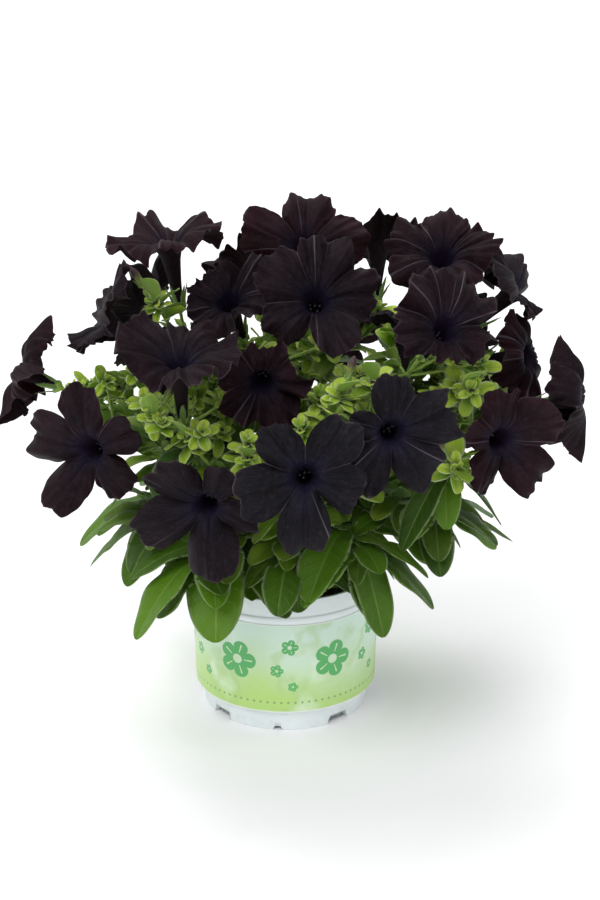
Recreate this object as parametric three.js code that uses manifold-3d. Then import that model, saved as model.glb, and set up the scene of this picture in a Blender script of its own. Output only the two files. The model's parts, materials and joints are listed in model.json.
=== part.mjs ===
// A black-flowered petunia in a white nursery pot with a printed wrap label.
// Millimetres, +Z up. The origin is the middle of the pot's foot, on the surface it stands on.
// -Y is the front.
// Leafy stems rise from holes in the soil, and each of their branches ends in the calyx that holds one bloom.
import * as THREE from "three";
import { mergeVertices } from "three/addons/utils/BufferGeometryUtils.js";
import Module from "manifold-3d";

const wasm = await Module();
wasm.setup();
const { Manifold, Mesh } = wasm;
const V = (x, y, z) => new THREE.Vector3(x, y, z);
const UP = V(0, 0, 1);
const radians = THREE.MathUtils.degToRad;
const degrees = THREE.MathUtils.radToDeg;
const mix = THREE.MathUtils.lerp;

// ---- driving dimensions ----
const POT = {
  height: 92,
  rimR: 60,
  bodyTopR: 58.6,
  bodyLowR: 57.2,
  footTopR: 53.5,
  footR: 52,
  footZ: 13,
  wall: 1.6,
};
const POT_SIDES = 32;
const POT_TURN = 4.1; // degrees from +X to the first of the pot's and the label's edges
const NOTCH_TURN = -5; // degrees from the front to the middle of the foremost notch
const FLOOR_Z = 6; // underside of the pot's floor, inside the foot ring
const LABEL = { low: 15.5, high: 75, thick: 0.5 };
const GAP = 0.3; // clearance between two solids that touch on the real thing
const SOIL_Z = 82;
const STEM_R = 2.3;
const HOLE_R = STEM_R + 0.8;
const HOLE_DEPTH = 22;
const BRANCH_R = 1.6;
const PEDICEL_R = 1.1;
const SHOOT_R = { young: 1.3, low: 1.8 };
const TUBE = { length: 27, baseR: 2.6, throatR: 6.2, sag: 6 };
const PETAL_THICK = 0.8;
const CALYX = { floorR: 3.3, cupR: 4.3, valley: 2.5, tip: 14, tipR: 7.8 };
const LEAF_THICK = 1;
const GOLDEN = 137.5;

// ---- how a corolla opens ----
// start and end are the angles between the petal and the tube's axis, at the throat and at the rim.
const FORMS = {
  open: { start: 48, end: 96, notch: 0.3, ruffle: 2.2, tilt: 16 },
  funnel: { start: 24, end: 84, notch: 0.2, ruffle: 2.6, tilt: 14 },
  deep: { start: 42, end: 94, notch: 0.4, ruffle: 1.8, tilt: 14 },
  curled: { start: 46, end: 132, notch: 0.32, ruffle: 3.4, tilt: 34 },
};

// ---- the blooms ----
// Each has its throat, the compass direction and tilt that it faces, roll, petal length and form.
// A bloom with `on` stands on a branch that leaves that bloom's stem at the share `from` of its length.
const BLOOMS = [
  { name: "top_back", at: [12, 12, 290], az: -90, el: 34, roll: 14, petal: 36, form: "open" },
  { name: "top_centre", at: [18, -56, 276], az: -88, el: 30, roll: 40, petal: 37, form: "open" },
  { name: "top_left", at: [-68, 4, 290], az: 150, el: 78, roll: 20, petal: 37, form: "funnel" },
  { name: "upper_left_inner", at: [-32, -24, 266], az: -112, el: 46, roll: 50, petal: 30, form: "funnel",
    on: "top_left", from: 0.5 },
  { name: "left_rear", at: [-102, -40, 260], az: -178, el: 30, roll: 30, petal: 32, form: "open",
    on: "top_left", from: 0.4 },
  { name: "left_wide", at: [-58, -88, 246], az: -100, el: 76, roll: 8, petal: 37, form: "funnel" },
  { name: "centre_low", at: [-12, -78, 237], az: -92, el: -12, roll: 10, petal: 26, form: "open",
    on: "left_wide", from: 0.45 },
  { name: "left_low", at: [-110, -68, 192], az: -114, el: 2, roll: 28, petal: 38, form: "deep" },
  { name: "far_left", at: [-171, 42, 206], az: 176, el: 10, roll: 12, petal: 35, form: "curled",
    on: "left_low", from: 0.4 },
  { name: "front_left", at: [-42, -118, 178], az: -100, el: -12, roll: 60, petal: 37, form: "deep" },
  { name: "front_centre", at: [12, -136, 201], az: -88, el: 10, roll: 54, petal: 38, form: "open" },
  { name: "front_right", at: [58, -124, 222], az: -84, el: 6, roll: 20, petal: 36, form: "open" },
  { name: "right_upper", at: [88, -88, 268], az: -66, el: 32, roll: 36, petal: 34, form: "open" },
  { name: "right_back_turned", at: [70, -34, 256], az: 84, el: 64, roll: 44, petal: 26, form: "open",
    on: "right_upper", from: 0.55 },
  { name: "right_crest", at: [92, -24, 292], az: -98, el: 52, roll: 16, petal: 33, form: "funnel",
    on: "right_upper", from: 0.5 },
  { name: "right_shoulder", at: [136, -8, 270], az: -8, el: 36, roll: 8, petal: 33, form: "open" },
  { name: "right_rear_crest", at: [112, 36, 284], az: 40, el: 54, roll: 24, petal: 30, form: "curled",
    on: "right_shoulder", from: 0.5 },
  { name: "right_low", at: [122, -82, 203], az: -66, el: 0, roll: 22, petal: 36, form: "open" },
  { name: "right_droop", at: [144, -14, 232], az: -30, el: 0, roll: 48, petal: 28, form: "curled",
    on: "right_low", from: 0.5 },
  { name: "far_right", at: [172, -42, 214], az: -12, el: 0, roll: 66, petal: 37, form: "curled",
    on: "right_low", from: 0.6 },
  { name: "back_top", at: [-20, 84, 258], az: 104, el: 42, roll: 18, petal: 36, form: "funnel" },
  { name: "back_crest", at: [58, 50, 281], az: 84, el: 54, roll: 30, petal: 32, form: "funnel",
    on: "top_back", from: 0.5 },
  { name: "back_left", at: [-92, 66, 238], az: 142, el: 34, roll: 52, petal: 36, form: "open" },
  { name: "back_low_left", at: [-70, 116, 176], az: 118, el: 4, roll: 62, petal: 35, form: "deep",
    on: "back_left", from: 0.4 },
  { name: "back_centre", at: [28, 135, 206], az: 84, el: 12, roll: 34, petal: 36, form: "open" },
  { name: "back_right", at: [104, 84, 232], az: 46, el: 30, roll: 6, petal: 36, form: "open" },
  { name: "back_low_right", at: [120, 98, 164], az: 40, el: 4, roll: 44, petal: 34, form: "open",
    on: "back_right", from: 0.4 },
];

// ---- side shoots: the bloom whose stem each leaves, how far up it, and where its end is ----
// Young ones end in a rosette of leaves of the given size.
const YOUNG_SHOOTS = [
  { stem: "left_low", from: 0.66, at: [-74, -80, 216], size: 22 },
  { stem: "front_left", from: 0.7, at: [-54, -88, 206], size: 21 },
  { stem: "centre_low", from: 0.4, at: [-34, -62, 216], size: 18 },
  { stem: "front_centre", from: 0.7, at: [32, -98, 236], size: 19 },
  { stem: "front_right", from: 0.72, at: [50, -88, 240], size: 19 },
  { stem: "front_left", from: 0.6, at: [-20, -104, 200], size: 17 },
  { stem: "top_left", from: 0.84, at: [-76, -22, 268], size: 20 },
  { stem: "left_low", from: 0.5, at: [-96, -44, 224], size: 18 },
  { stem: "right_upper", from: 0.7, at: [104, -72, 230], size: 20 },
  { stem: "right_low", from: 0.7, at: [98, -92, 188], size: 24 },
  { stem: "right_droop", from: 0.6, at: [131, 3, 220], size: 22 },
  { stem: "back_left", from: 0.72, at: [-94, 84, 206], size: 21 },
  { stem: "back_centre", from: 0.7, at: [-8, 108, 222], size: 21 },
  { stem: "back_right", from: 0.7, at: [74, 104, 214], size: 21 },
  { stem: "back_low_right", from: 0.66, at: [146, 62, 190], size: 20 },
  { stem: "far_left", from: 0.7, at: [-124, 40, 188], size: 20 },
];
// Low ones arch out over the rim and carry the large leaves that hang round the pot.
const LOW_SHOOTS = [
  { stem: "left_low", from: 0.3, at: [-78, -34, 132] },
  { stem: "front_left", from: 0.3, at: [-52, -70, 124] },
  { stem: "front_centre", from: 0.3, at: [2, -76, 124] },
  { stem: "front_right", from: 0.3, at: [44, -76, 134] },
  { stem: "right_low", from: 0.34, at: [88, -54, 150] },
  { stem: "right_shoulder", from: 0.2, at: [88, 24, 126] },
  { stem: "back_right", from: 0.24, at: [54, 76, 122] },
  { stem: "back_centre", from: 0.26, at: [-2, 88, 120] },
  { stem: "back_left", from: 0.26, at: [-60, 66, 122] },
  { stem: "top_left", from: 0.2, at: [-86, 18, 124] },
];

// ---- the leaves that hang at the front: tip, the place that the leaf comes from, and width ----
const FRONT_LEAVES = [
  { tip: [-121, -15, 96], from: [-84, -34, 128], width: 33 },
  { tip: [-101, -46, 100], from: [-80, -40, 124], width: 17 },
  { tip: [-75, -84, 92], from: [-58, -70, 124], width: 27 },
  { tip: [-37, -96, 86], from: [-34, -66, 126], width: 33 },
  { tip: [9, -94, 100], from: [-18, -72, 124], width: 20 },
  { tip: [11, -104, 108], from: [38, -80, 138], width: 21 },
  { tip: [17, -92, 92], from: [22, -76, 124], width: 18 },
  { tip: [52, -88, 93], from: [34, -74, 126], width: 22 },
  { tip: [58, -98, 86], from: [48, -78, 130], width: 19 },
  { tip: [55, -106, 130], from: [56, -88, 160], width: 15 },
  { tip: [88, -82, 97], from: [62, -72, 134], width: 25 },
  { tip: [67, -104, 143], from: [66, -84, 170], width: 16 },
  { tip: [93, -94, 152], from: [86, -74, 172], width: 15 },
  { tip: [91, -88, 120], from: [92, -58, 148], width: 18 },
  { tip: [127, -54, 124], from: [92, -56, 152], width: 24 },
  { tip: [136, -30, 120], from: [106, -40, 150], width: 14 },
  { tip: [128, -62, 142], from: [98, -64, 170], width: 20 },
  { tip: [-107, -24, 138], from: [-80, -30, 158], width: 18 },
  { tip: [-108, -52, 196], from: [-70, -62, 186], width: 27 },
  { tip: [-66, -96, 170], from: [-62, -72, 196], width: 24 },
];

// ---- colours, roughness and metalness of the finishes ----
const finish = (color, roughness) => new THREE.MeshStandardMaterial({ color, roughness, metalness: 0 });
const WHITE_PLASTIC = finish(0xf2f4f7, 0.35);
const LABEL_FILM = finish(0xcfe6b8, 0.4);
const DARK_SOIL = finish(0x2a211b, 0.95);
const LEAF_GREEN = finish(0x4f8a1e, 0.55);
const PETAL_BLACK = finish(0x1b1019, 0.7);

// ---- helpers ----
// The same number from 0 to 1 for the same three whole numbers, so that every draw is repeatable.
function chance(a, b, c) {
  const v = Math.sin(a * 127.1 + b * 311.7 + c * 74.7) * 43758.5453;
  return v - Math.floor(v);
}
const spread = (a, b, c) => 2 * chance(a, b, c) - 1;

// The direction with compass angle az and height el, in degrees. An az of -90 is the front.
function facing(az, el) {
  const level = Math.cos(radians(el));
  return V(level * Math.cos(radians(az)), level * Math.sin(radians(az)), Math.sin(radians(el)));
}

// Points on a circle round a middle, in the plane of two directions.
function ringRound(middle, one, two, radius, n = 5, start = 0) {
  return Array.from({ length: n }, (_, i) => {
    const a = radians(start + (360 * i) / n);
    const [x, y] = [radius * Math.cos(a), radius * Math.sin(a)];
    return middle.clone().addScaledVector(one, x).addScaledVector(two, y);
  });
}

// A closed skin built ring by ring. A ring is a list of point numbers, and a ring of one point is a tip.
class Skin {
  points = [];
  faces = [];
  ring(points) {
    this.points.push(...points);
    return points.map((_, i) => this.points.length - points.length + i);
  }
  face(a, b, c, flip) {
    this.faces.push(flip ? [a, c, b] : [a, b, c]);
  }
  // Joins a ring of n points to one of n or 2n points, or to a tip.
  strip(low, high, flip = false) {
    const n = low.length;
    for (let i = 0; i < n; i++) {
      const j = (i + 1) % n;
      if (high.length === 1) {
        this.face(low[i], low[j], high[0], flip);
      } else if (high.length === n) {
        this.face(low[i], low[j], high[j], flip);
        this.face(low[i], high[j], high[i], flip);
      } else {
        this.face(low[i], high[2 * i + 1], high[2 * i], flip);
        this.face(low[i], low[j], high[2 * i + 1], flip);
        this.face(low[j], high[2 * j], high[2 * i + 1], flip);
      }
    }
  }
  strips(rings, flip = false) {
    rings.slice(1).forEach((ring, i) => this.strip(rings[i], ring, flip));
  }
  cap(ring, flip = false) {
    for (let i = 1; i + 1 < ring.length; i++) this.face(ring[0], ring[i + 1], ring[i], flip);
  }
  solid() {
    const vertProperties = new Float32Array(this.points.flatMap((p) => [p.x, p.y, p.z]));
    const make = (faces) => {
      const triVerts = new Uint32Array(faces.flat());
      return new Manifold(new Mesh({ numProp: 3, vertProperties, triVerts }));
    };
    const made = make(this.faces);
    return made.volume() > 0 ? made : make(this.faces.map(([a, b, c]) => [a, c, b]));
  }
}

// A three.js geometry as a solid.
function solidOf(geometry) {
  const bare = new THREE.BufferGeometry().setAttribute("position", geometry.getAttribute("position"));
  const { attributes, index } = mergeVertices(bare.setIndex(geometry.index), 1e-4);
  const vertProperties = attributes.position.array;
  return new Manifold(new Mesh({ numProp: 3, vertProperties, triVerts: new Uint32Array(index.array) }));
}

// A solid as a named mesh.
function piece(name, solid, material) {
  const { numVert, vertProperties, triVerts } = solid.getMesh();
  const geometry = new THREE.BufferGeometry();
  geometry.setAttribute("position", new THREE.BufferAttribute(vertProperties.slice(0, numVert * 3), 3));
  geometry.setIndex(new THREE.BufferAttribute(triVerts, 1));
  geometry.computeVertexNormals();
  const mesh = new THREE.Mesh(geometry, material);
  mesh.name = name;
  return mesh;
}

// A profile of [radius, height] points turned round the Z axis.
function turned(profile) {
  const points = profile.map(([r, z]) => new THREE.Vector2(r, z));
  const lathe = new THREE.LatheGeometry(points, POT_SIDES);
  return solidOf(lathe.rotateX(Math.PI / 2).rotateZ(radians(POT_TURN)));
}

// ---- pot, label and soil ----
// Radius of the body's outside at height z, between the foot and the rim.
const bodyR = (z) => mix(POT.bodyLowR, POT.bodyTopR, (z - POT.footZ) / (LABEL.high - POT.footZ));

function pot() {
  const { height, rimR, footR, footTopR, footZ, wall } = POT;
  const beadLow = LABEL.high + 1.5;
  const shell = turned([
    [0, FLOOR_Z],
    [footR - 3, FLOOR_Z],
    [footR - 3, 0],
    [footR, 0],
    [footTopR, footZ],
    [bodyR(footZ), footZ + 1.5],
    [bodyR(beadLow), beadLow],
    [rimR + 0.4, beadLow + 1],
    [rimR + 0.4, beadLow + 3],
    [rimR - 0.5, beadLow + 4.2],
    [rimR, height],
    [rimR - wall, height],
    [bodyR(footZ) - wall, footZ + 2],
    [footR - 1.2, FLOOR_Z + wall],
    [0, FLOOR_Z + wall],
  ]);
  // Wide and narrow notches take turns round the foot, with a drain hole in the floor behind each wide one.
  const cuts = [];
  for (let k = 0; k < 8; k++) {
    const wide = k % 2 === 1;
    const [half, tall] = wide ? [7.5, 5.5] : [2.6, 2.6];
    const outline = new THREE.Shape();
    outline.moveTo(-half - 1, -1);
    outline.lineTo(half + 1, -1);
    outline.lineTo(half - 1, tall);
    outline.lineTo(-half + 1, tall);
    const notch = new THREE.ExtrudeGeometry(outline, { depth: 12, bevelEnabled: false });
    const turn = radians(NOTCH_TURN + 45 * k);
    cuts.push(solidOf(notch.rotateX(Math.PI / 2).translate(0, -footR + 8, 0).rotateZ(turn)));
    if (wide) {
      const drain = new THREE.CylinderGeometry(5, 5, 6, 8).rotateX(Math.PI / 2);
      cuts.push(solidOf(drain.translate(0, -38, FLOOR_Z + 0.8).rotateZ(turn)));
    }
  }
  return shell.subtract(Manifold.union(cuts));
}

function label() {
  const inner = (z) => bodyR(z) + GAP;
  const { low, high, thick } = LABEL;
  return turned([
    [inner(low), low],
    [inner(low) + thick, low],
    [inner(high) + thick, high],
    [inner(high), high],
    [inner(low), low],
  ]);
}

// Height of the soil's crumbly top at a point.
function soilTop(x, y) {
  return SOIL_Z + 1.1 * Math.sin(x / 7.3) * Math.cos(y / 6.1) + 0.8 * Math.sin((x + 2 * y) / 4.7);
}

function soil(feet) {
  const { footZ, footR, wall, rimR } = POT;
  const AROUND = 18;
  const skin = new Skin();
  const circle = (r, z) =>
    Array.from({ length: AROUND }, (_, i) => {
      const turn = (2 * Math.PI * i) / AROUND;
      const [x, y] = [r * Math.cos(turn), r * Math.sin(turn)];
      return V(x, y, z ?? soilTop(x, y));
    });
  const topR = rimR - wall - 1.2;
  const rings = [
    circle(footR - 3.5, FLOOR_Z + wall + GAP),
    circle(bodyR(footZ) - wall - 1.4, footZ + 3),
    circle(topR),
    circle((topR * 2) / 3),
    circle(topR / 3),
    [V(0, 0, soilTop(0, 0))],
  ].map((points) => skin.ring(points));
  skin.strips(rings);
  skin.cap(rings[0]);
  const holes = feet.map(({ x, y }) => {
    const hole = new THREE.CylinderGeometry(HOLE_R, HOLE_R, HOLE_DEPTH + 10, 6);
    return solidOf(hole.rotateX(Math.PI / 2).translate(x, y, SOIL_Z + 5 - HOLE_DEPTH / 2));
  });
  return skin.solid().subtract(Manifold.union(holes));
}

// ---- the corolla ----
// The frame of a bloom: its throat, where it faces, the two directions across it, and the base of its tube.
function bloomFrame({ at, az, el }) {
  const throat = V(...at);
  const out = facing(az, el);
  const side = facing(az + 90, 0);
  const base = throat.clone().addScaledVector(out, -TUBE.length).addScaledVector(UP, -TUBE.sag);
  const along = throat.clone().sub(base).normalize();
  const top = out.clone().cross(side);
  const over = along.clone().cross(side).normalize();
  return { throat, out, side, top, base, along, over };
}

// The lobe at a turn of phi degrees round the bloom, and how far across it, from -1 to 1 at the notches.
function lobeAt(phi, roll) {
  const turn = ((((phi - roll) / 72) % 5) + 5.5) % 5;
  return { lobe: Math.floor(turn), across: 2 * (turn - Math.floor(turn)) - 1 };
}

// A point of the corolla. s runs from 0 at the throat to 1 at the rim, and lift is off the petal's face.
function petalPoint(bloom, index, phi, s, lift = 0) {
  const form = FORMS[bloom.form];
  const { throat, out, side, top } = bloomFrame(bloom);
  const { lobe, across } = lobeAt(phi, bloom.roll);
  const middle = 1 - across * across;
  const notch = 1 - form.notch * Math.abs(across) ** 3;
  const length = bloom.petal * notch * (1 + 0.07 * spread(index, lobe, 1) * middle);
  const end = form.end + form.tilt * spread(index, lobe, 2) * middle + 7 * across * across;
  // The petal's slope eases from start to end, and its length is laid along that slope in a few steps.
  const STEPS = 8;
  let r = TUBE.throatR;
  let w = 0;
  let slope = radians(form.start);
  for (let i = 0; i < STEPS; i++) {
    const t = ((i + 0.5) / STEPS) * s;
    slope = radians(mix(form.start, end, 1 - (1 - t) ** 2));
    r += (Math.sin(slope) * length * s) / STEPS;
    w += (Math.cos(slope) * length * s) / STEPS;
  }
  const slow = Math.sin(radians(7 * phi) + 6.3 * chance(index, 0, 3));
  const quick = Math.sin(radians(12 * phi) + 6.3 * chance(index, 0, 4));
  const off = lift + form.ruffle * (slow + 0.6 * quick) * s * s - 2.2 * s * across * across;
  r -= Math.cos(slope) * off;
  w += Math.sin(slope) * off;
  return throat
    .addScaledVector(side, r * Math.cos(radians(phi)))
    .addScaledVector(top, r * Math.sin(radians(phi)))
    .addScaledVector(out, w);
}

// The corolla's outside runs from its tube's foot to the rim, and its inside from a point in the tube.
function corolla(bloom, index) {
  const skin = new Skin();
  const { throat, side, base, over } = bloomFrame(bloom);
  const limb = (n, s, lift) => {
    const turns = Array.from({ length: n }, (_, i) => bloom.roll + (360 * i) / n);
    return skin.ring(turns.map((phi) => petalPoint(bloom, index, phi, s, lift)));
  };
  const foot = skin.ring(ringRound(base, side, over, TUBE.baseR, 10, bloom.roll));
  const low = -PETAL_THICK;
  const outside = [foot, limb(10, 0, low), limb(10, 0.36, low), limb(10, 0.72, low)];
  const inside = [limb(10, 0, 0), limb(10, 0.36, 0), limb(10, 0.72, 0)];
  const rim = limb(20, 1, 0);
  skin.cap(foot);
  skin.strips([...outside, rim]);
  skin.strips([...inside, rim], true);
  skin.strip(inside[0], skin.ring([base.lerp(throat, 0.5)]));
  return skin.solid();
}

// ---- stems and branches ----
// Where the main stems leave the soil: towards their blooms, but pushed apart.
const DRAWN_IN = 0.24;
const FOOT_SPACING = 11;
const mains = BLOOMS.filter(({ on }) => !on);
function stemFeet() {
  const feet = mains.map(({ at }) => V(at[0] * DRAWN_IN, at[1] * DRAWN_IN, SOIL_Z));
  for (let round = 0; round < 40; round++) {
    feet.forEach((a, i) =>
      feet.slice(i + 1).forEach((b) => {
        const between = b.clone().sub(a);
        const short = FOOT_SPACING - between.length();
        if (short > 0) {
          between.setLength(short / 2);
          a.sub(between);
          b.add(between);
        }
      }),
    );
  }
  return feet;
}
const feet = stemFeet();

// The bent line through the middles of a stem's rings. Leaves and branches are rooted on it.
class BentLine {
  constructor(points) {
    this.points = points;
    this.length = points.slice(1).reduce((sum, p, i) => sum + p.distanceTo(points[i]), 0);
  }
  // The point at a share of the line, where every stretch between two bends counts the same.
  at(share) {
    const stretches = this.points.length - 1;
    const i = Math.min(stretches - 1, Math.floor(share * stretches));
    return this.points[i].clone().lerp(this.points[i + 1], share * stretches - i);
  }
}

// Each bloom's stem runs straight up from the soil, or off the stem that carries it, and over to the calyx.
const MAIN_STOPS = [0, 0.25, 0.5, 0.75, 1];
const BRANCH_STOPS = [0, 0.3, 0.65, 1];
const paths = new Map();
function stemPath(bloom) {
  const { base, along } = bloomFrame(bloom);
  const end = base.addScaledVector(along, -GAP - 3);
  const parent = paths.get(bloom.on);
  const foot = feet[mains.indexOf(bloom)];
  const start = parent ? parent.line.at(bloom.from) : foot.clone().addScaledVector(UP, 4);
  const straight = end.clone().sub(start).normalize();
  const leaving = parent ? straight.lerp(UP, 0.4).normalize() : UP;
  const reach = start.distanceTo(end);
  const curve = new THREE.CubicBezierCurve3(
    start,
    start.clone().addScaledVector(leaving, reach * 0.42),
    end.clone().addScaledVector(along, -reach * 0.3),
    end,
  );
  const line = new BentLine((parent ? BRANCH_STOPS : MAIN_STOPS).map((t) => curve.getPoint(t)));
  return { curve, line, node: parent ? parent.node : "stem_" + bloom.name };
}
BLOOMS.forEach((bloom) => paths.set(bloom.name, stemPath(bloom)));

function ringAcross(curve, t, side, radius) {
  const along = curve.getTangent(t);
  const over = along.clone().cross(side).normalize();
  return ringRound(curve.getPoint(t), over.clone().cross(along), over, radius);
}

// A stem with its calyx: a cup of five pointed sepals that the corolla's tube stands in.
function stemBody(bloom) {
  const { side, base, along, over } = bloomFrame(bloom);
  const { curve } = paths.get(bloom.name);
  const skin = new Skin();
  const cupRing = (radius, forward, start = 0) => {
    const middle = base.clone().addScaledVector(along, forward);
    return ringRound(middle, over.clone().cross(along), over, radius, 5, start);
  };
  // A main stem has a blunt foot down in its hole. A branch starts as a point in the stem that carries it.
  const stops = bloom.on ? BRANCH_STOPS.slice(1) : MAIN_STOPS;
  const thick = bloom.on ? BRANCH_R : STEM_R;
  const rings = stops.map((t) => ringAcross(curve, t, side, mix(thick, PEDICEL_R, t)));
  const foot = rings[0].map(({ x, y }) => V(x, y, SOIL_Z - HOLE_DEPTH + GAP));
  rings.unshift(bloom.on ? [curve.getPoint(0)] : foot);
  const stem = [...rings, cupRing(CALYX.cupR, -GAP)].map((points) => skin.ring(points));
  const tips = cupRing(CALYX.tipR, CALYX.tip);
  const valleys = cupRing(CALYX.cupR + 0.6, CALYX.valley, 36);
  const crown = skin.ring(tips.flatMap((tip, i) => [tip, valleys[i]]));
  const floor = skin.ring(cupRing(CALYX.floorR, -GAP));
  if (bloom.on) skin.strip(stem[1], stem[0], true);
  else skin.cap(stem[0]);
  skin.strips([...stem.slice(bloom.on ? 1 : 0), crown]);
  skin.strip(floor, crown, true);
  skin.cap(floor, true);
  return skin.solid();
}

const SHOOT_STEPS = 2;
// A side shoot's stalk goes out to its end with its middle raised or sagging by a share of its reach.
function shootPath({ stem, from, at }, arch) {
  const start = paths.get(stem).line.at(from);
  const end = V(...at);
  const middle = start.clone().lerp(end, 0.5).addScaledVector(UP, arch * start.distanceTo(end));
  const curve = new THREE.QuadraticBezierCurve3(start, middle, end);
  return { curve, line: new BentLine(curve.getSpacedPoints(SHOOT_STEPS)), node: paths.get(stem).node };
}
const youngPaths = YOUNG_SHOOTS.map((shoot) => shootPath(shoot, -0.12));
const lowPaths = LOW_SHOOTS.map((shoot) => shootPath(shoot, 0.18));

function stalkBody(curve, radius) {
  const section = new THREE.Shape();
  section.setFromPoints(ringRound(V(0, 0, 0), V(1, 0, 0), V(0, 1, 0), radius, 3));
  return solidOf(new THREE.ExtrudeGeometry(section, { steps: SHOOT_STEPS, extrudePath: curve }));
}

// ---- leaves ----
// Half the blade's width at t, from the stalk at 0 to the tip at 1, as a share of the greatest half width.
const bladeShare = (t) => 2.62 * t ** 0.9 * (1 - t) ** 0.55 + 0.14 * (1 - t);

// A leaf bends from root to tip in one upright plane. rise is how far its elbow stands above a straight line.
function leafPoint({ root, tip, rise, width, roll, fold }, t, across, lift = 0) {
  const elbow = root.clone().lerp(tip, 0.42).addScaledVector(UP, rise);
  const curve = new THREE.QuadraticBezierCurve3(root, elbow, tip);
  const along = curve.getTangent(t);
  const side = tip.clone().sub(root).cross(UP).normalize().applyAxisAngle(along, radians(roll));
  const high = side.clone().cross(along);
  const half = (width / 2) * bladeShare(t) * across;
  return curve.getPoint(t).addScaledVector(side, half).addScaledVector(high, lift + fold * Math.abs(half));
}

// The blade is pointed at root and tip, and at each stop it has two edges with a rib above and below.
function leafBody(leaf, thick = LEAF_THICK) {
  const skin = new Skin();
  const at = (t, across, lift) => skin.ring([leafPoint(leaf, t, across, lift * thick)])[0];
  const station = (t) => {
    return { left: at(t, -1, 0), right: at(t, 1, 0), high: at(t, 0, 0.5), low: at(t, 0, -0.5) };
  };
  const root = at(0, 0, 0);
  const tip = at(1, 0, 0);
  const stations = leaf.stops.map(station);
  for (const edge of ["left", "right"]) {
    for (const rib of ["high", "low"]) {
      const flip = (edge === "left") !== (rib === "high");
      skin.face(root, stations[0][rib], stations[0][edge], flip);
      stations.slice(1).forEach((b, i) => {
        skin.face(stations[i][edge], stations[i][rib], b[rib], flip);
        skin.face(stations[i][edge], b[rib], b[edge], flip);
      });
      skin.face(stations.at(-1)[edge], stations.at(-1)[rib], tip, flip);
    }
  }
  return skin.solid();
}
const LARGE = [0.2, 0.46, 0.74, 0.92];
const MIDDLING = [0.26, 0.58, 0.86];
const SMALL = [0.32, 0.74];

// The place on any stem or shoot that is nearest to a point.
function nearestRoot(point) {
  const STOPS = 24;
  const found = { gap: Infinity };
  for (const { line, node } of [...paths.values(), ...lowPaths, ...youngPaths]) {
    for (let i = 1; i < STOPS; i++) {
      const root = line.at(i / STOPS);
      const gap = root.distanceTo(point);
      if (gap < found.gap) Object.assign(found, { gap, root, node });
    }
  }
  return found;
}

// Each leaf comes as the node it grows on and a function that gives its shape at a numbered try.
function frontLeaf({ tip, from, width }, number) {
  const { root, node } = nearestRoot(V(...from));
  const grow = (attempt) => {
    const draw = (k) => (attempt ? spread(300 + number, attempt, k) : 0);
    const end = V(...tip).add(V(6 * draw(1), 6 * draw(2), 5 * draw(3)));
    const length = root.distanceTo(end);
    return {
      root,
      tip: end,
      rise: length * (0.2 + 0.12 * draw(4)),
      width: width * (1 - 0.03 * attempt),
      roll: 20 * draw(5),
      fold: 0.2,
      stops: width > 20 ? LARGE : MIDDLING,
    };
  };
  return { node, grow };
}

// Four large leaves spread over a low shoot on the sides and at the back.
function lowLeaves({ line, node }, number) {
  const end = line.at(1);
  const heading = degrees(Math.atan2(end.y, end.x));
  return [0, 1, 2, 3].map((i) => {
    const root = line.at([0.97, 0.8, 0.62, 0.45][i]);
    const grow = (attempt) => {
      const draw = (k) => spread(200 + number, i + 1, k + 10 * attempt);
      const length = 54 + 8 * draw(1) - 2 * attempt;
      const az = heading + [-12, 34, -52, 74][i] + 16 * draw(2);
      return {
        root,
        tip: root.clone().add(facing(az, -32 + 16 * draw(3)).multiplyScalar(length)),
        rise: length * 0.24,
        width: length * (0.44 + 0.05 * draw(4)),
        roll: 14 * draw(5),
        fold: 0.2,
        stops: LARGE,
      };
    };
    return { node, grow };
  });
}

// Leaves stand at turns of the golden angle up a stem, and get smaller with height.
function stemLeaves({ line, node }, number) {
  const FIRST = 34;
  const SPACING = 52;
  const BARE = 26; // the stretch below the calyx
  const count = Math.max(0, Math.floor((line.length - FIRST - BARE) / SPACING) + 1);
  return Array.from({ length: count }, (_, i) => {
    const root = line.at((FIRST + SPACING * i) / line.length);
    const high = THREE.MathUtils.clamp((root.z - 100) / 120, 0, 1);
    const grow = (attempt) => {
      const draw = (k) => spread(number + 1, i + 1, k + 10 * attempt);
      const reach = mix(46, 30, high) * (1 + 0.12 * draw(1) - 0.03 * attempt);
      const outward = degrees(Math.atan2(root.y, root.x));
      const az = outward + 100 * draw(2);
      return {
        root,
        tip: root.clone().add(facing(az, mix(-4, 24, high) + 14 * draw(3)).multiplyScalar(reach)),
        rise: reach * 0.2,
        width: reach * (0.44 + 0.04 * draw(4)),
        roll: 16 * draw(5),
        fold: 0.22,
        stops: MIDDLING,
      };
    };
    return { node, grow };
  });
}

// The young leaves of a side shoot, spread round its end.
function rosette({ line, node }, { size }, number) {
  const YOUNG = 5;
  const [start, end] = [line.at(0), line.at(1)];
  const heading = degrees(Math.atan2(end.y - start.y, end.x - start.x));
  return Array.from({ length: YOUNG }, (_, i) => {
    const root = line.at(0.97 - 0.07 * i);
    const grow = (attempt) => {
      const draw = (k) => spread(100 + number, i + 1, k + 10 * attempt);
      const length = size * (1.05 - 0.06 * i) * (1 + 0.14 * draw(1));
      const out = facing(heading + GOLDEN * i + 30 * draw(2), 44 - 6 * i + 14 * draw(3));
      return {
        root,
        tip: root.clone().addScaledVector(out, length),
        rise: length * 0.16,
        width: length * 0.5,
        roll: 12 * draw(4),
        fold: 0.25,
        stops: SMALL,
      };
    };
    return { node, grow };
  });
}

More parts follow.
